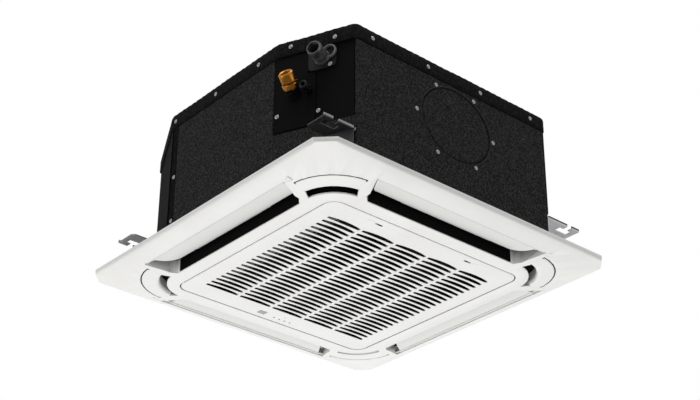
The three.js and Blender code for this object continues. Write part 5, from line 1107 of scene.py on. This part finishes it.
def add_outlet_linings():
    """Black foam on the inner wall of each air outlet; the front and left ones stop short of an end wall."""
    shapes = []
    for k in range(4):
        x = np.linspace(-156.0 if k == 3 else -164.0, 156.0 if k == 0 else 164.0, 60)
        soft = 0.25 * ripple(x, 0.4 * x, 70.0, k)
        section = [
            (240.15, -27.2), (241.0, -27.6), (241.8 + soft, -27.2),
            (242.0 + soft, -14.0), (241.8 + soft, -1.2), (240.15, -1.0),
        ]
        shapes.append(beside_outlet(x, section, k))
    make_piece("outlet_linings", shapes, LINING_AND_SHADE)


def add_outlet_caps():
    """Dark foam that closes each air outlet above, past the end of its vane. Its plan lies between the
    outlet's slanted end wall and the vane's own outline, which never swings inside that line."""
    shapes = []
    for k, name in enumerate(SIDES):
        for side, (start, end, power) in zip((-1, 1), VANE_ENDS[name]):
            along = np.concatenate([np.linspace(start + 3.0, end, 16), np.linspace(end + 1.2, 190.0, 6)])
            past = np.clip((along - start) / (end - start), 0, 1) ** power
            chord = np.maximum(VANE_CHORD * (1 - past), VANE_LEAST)
            high = np.where(along > end + 1.0, 288.5, -VANE_PIVOT[0] - chord - 1.6)
            low = np.minimum(np.interp(along, [165.0, 176.5, 190.0], [241.5, 251.0, 286.5]), high - 0.3)
            section = [(low, -3.4), (high, -3.4), (high, -2.0), (low, -2.0)]
            shapes.append(beside_outlet(side * along, section, k))
    make_piece("outlet_caps", shapes, LINING_AND_SHADE)


def smooth_path(points, step_mm):
    """Even points on a smooth curve through a route: each stretch is a cubic set by four neighbours."""
    route = np.asarray(points, float)
    ends = np.vstack([2 * route[0] - route[1], route, 2 * route[-1] - route[-2]])
    t = np.linspace(0, 1, 24, endpoint=False)[:, None, None]
    a, b, c, d = ends[:-3], ends[1:-2], ends[2:-1], ends[3:]
    square, cube = 2 * a - 5 * b + 4 * c - d, 3 * b - a - 3 * c + d
    curve = 0.5 * (2 * b + (c - a) * t + square * t**2 + cube * t**3)
    curve = np.vstack([curve.transpose(1, 0, 2).reshape(-1, 3), route[-1]])
    run = np.concatenate([[0.0], np.cumsum(np.linalg.norm(np.diff(curve, axis=0), axis=1))])
    even = np.linspace(0, run[-1], int(run[-1] / step_mm) + 1)
    return np.stack([np.interp(even, run, curve[:, i]) for i in range(3)], 1), even


HOSE_ROUTE = [
    (-216.3, -226, 32), (-219.3, -226, 32), (-222.5, -226, 33.1), (-228, -226, 41.8), (-232, -226, 60),
    (-236, -226, 99), (-236, -225, 160.3), (-223.7, -217.7, 189.5), (-225.8, -218.6, 203.8),
    (-232.7, -221.5, 209), (-238.7, -224.1, 209),
]


def add_drain_hose():
    """The drain hose: circles square to a smooth route, whose radius ripples by 0.3 mm every 3 mm; the
    wall comes back inside at a smaller radius."""
    path, run = smooth_path(HOSE_ROUTE, 0.75)
    way = np.gradient(path, axis=0)
    way /= np.linalg.norm(way, axis=1)[:, None]
    side = np.cross(way, [0.0, 1.0, 0.0])
    side /= np.linalg.norm(side, axis=1)[:, None]
    other = np.cross(way, side)
    turn = full_turn(16)
    circle = np.cos(turn)[:, None] * side[:, None, :] + np.sin(turn)[:, None] * other[:, None, :]
    outer = path[:, None, :] + circle * (6.2 + 0.3 * np.sin(run * 2 * np.pi / 3.0))[:, None, None]
    inner = path[::-1, None, :] + circle[::-1] * 4.6
    grid = np.concatenate([outer, inner])
    make_piece("drain_hose_ribbed", [looped(grid)], RUBBER, "unit", "hose", ("drain_hose",), 60.0)


# ---------------- studio


def add_studio():
    """A pale floor far below, white behind the object to the camera, soft lamps and an even sky."""
    angle = full_turn(64)
    radius = np.array([[1.0], [6.0], [14.0]])
    grid = np.stack([radius * np.cos(angle), radius * np.sin(angle), 0.0 * radius * angle + FLOOR_AT], -1)
    mesh = bpy.data.meshes.new("studio_floor")
    faces = grid_faces(3, 64, False, True).tolist() + [list(range(64))]
    mesh.from_pydata(grid.reshape(-1, 3).tolist(), [], faces)
    mesh.materials.append(start_material("studio_floor_paint", "#f2f2f1", 0.7)[0])
    placed("studio_floor", mesh)

    world = bpy.data.worlds.new("studio_sky")
    bpy.context.scene.world = world
    world.use_nodes = True
    tree = world.node_tree
    tree.nodes.clear()
    path = add(tree, "LightPath").outputs
    seen = path["Is Camera Ray"]
    for kind in ("Is Transmission Ray", "Is Glossy Ray"):
        seen = add(tree, "Math", {"operation": "MAXIMUM"}, {0: seen, 1: path[kind]}).outputs["Value"]
    lighting = add(tree, "Background", {"Color": linear("#fbfbfd"), "Strength": SKY_STRENGTH})
    backdrop = add(tree, "Background", {"Color": linear("#ffffff"), "Strength": 1.0})
    mixed = add(tree, "MixShader", links={0: seen, 1: lighting.outputs[0], 2: backdrop.outputs[0]})
    add(tree, "OutputWorld", links={"Surface": mixed.outputs[0]})

    add_lamp("left_softbox", (-2.8, 1.1, -0.6), 1.6, 24.0)
    add_lamp("right_softbox", (1.5, -2.9, -0.5), 1.6, 13.0)
    add_lamp("under_softbox", (0.7, 0.9, -3.0), 2.2, 74.0)
    add_lamp("top_softbox", (-0.7, -1.0, 3.2), 2.4, 70.0)


# ---------------- the whole

add_camera()
dress_nodes()
add_jacket()
add_band_and_top()
add_corner_foam()
add_piping()
add_screws()
add_filter_net()
add_corner_posts()
add_knockout_edge()
softened("panel_frame", WHITE, 0.5, with_corner_steps, is_rim_edge)
softened("duct_seal", LINING_AND_SHADE, 0.8)
add_grille()
add_drain_hose()
add_outlet_linings()
add_outlet_caps()
add_cover_notch_shades()
add_joint_shades()
for turns, side in enumerate(SIDES):
    add_vane(side, turns, NODE_FINISHES["vane_" + side])
for turns, corner in enumerate(("back_right", "back_left", "front_left", "front_right")):
    add_corner_cover(corner, turns)
    softened("hanger_" + corner, NODE_FINISHES["hanger_" + corner], 0.4, with_low_flange)
for side in ("left", "right"):
    softened("latch_" + side, BLACK_PLASTIC_AND_SHADE, 0.3)
add_studio()
bpy.context.scene.view_settings.view_transform = "Standard"
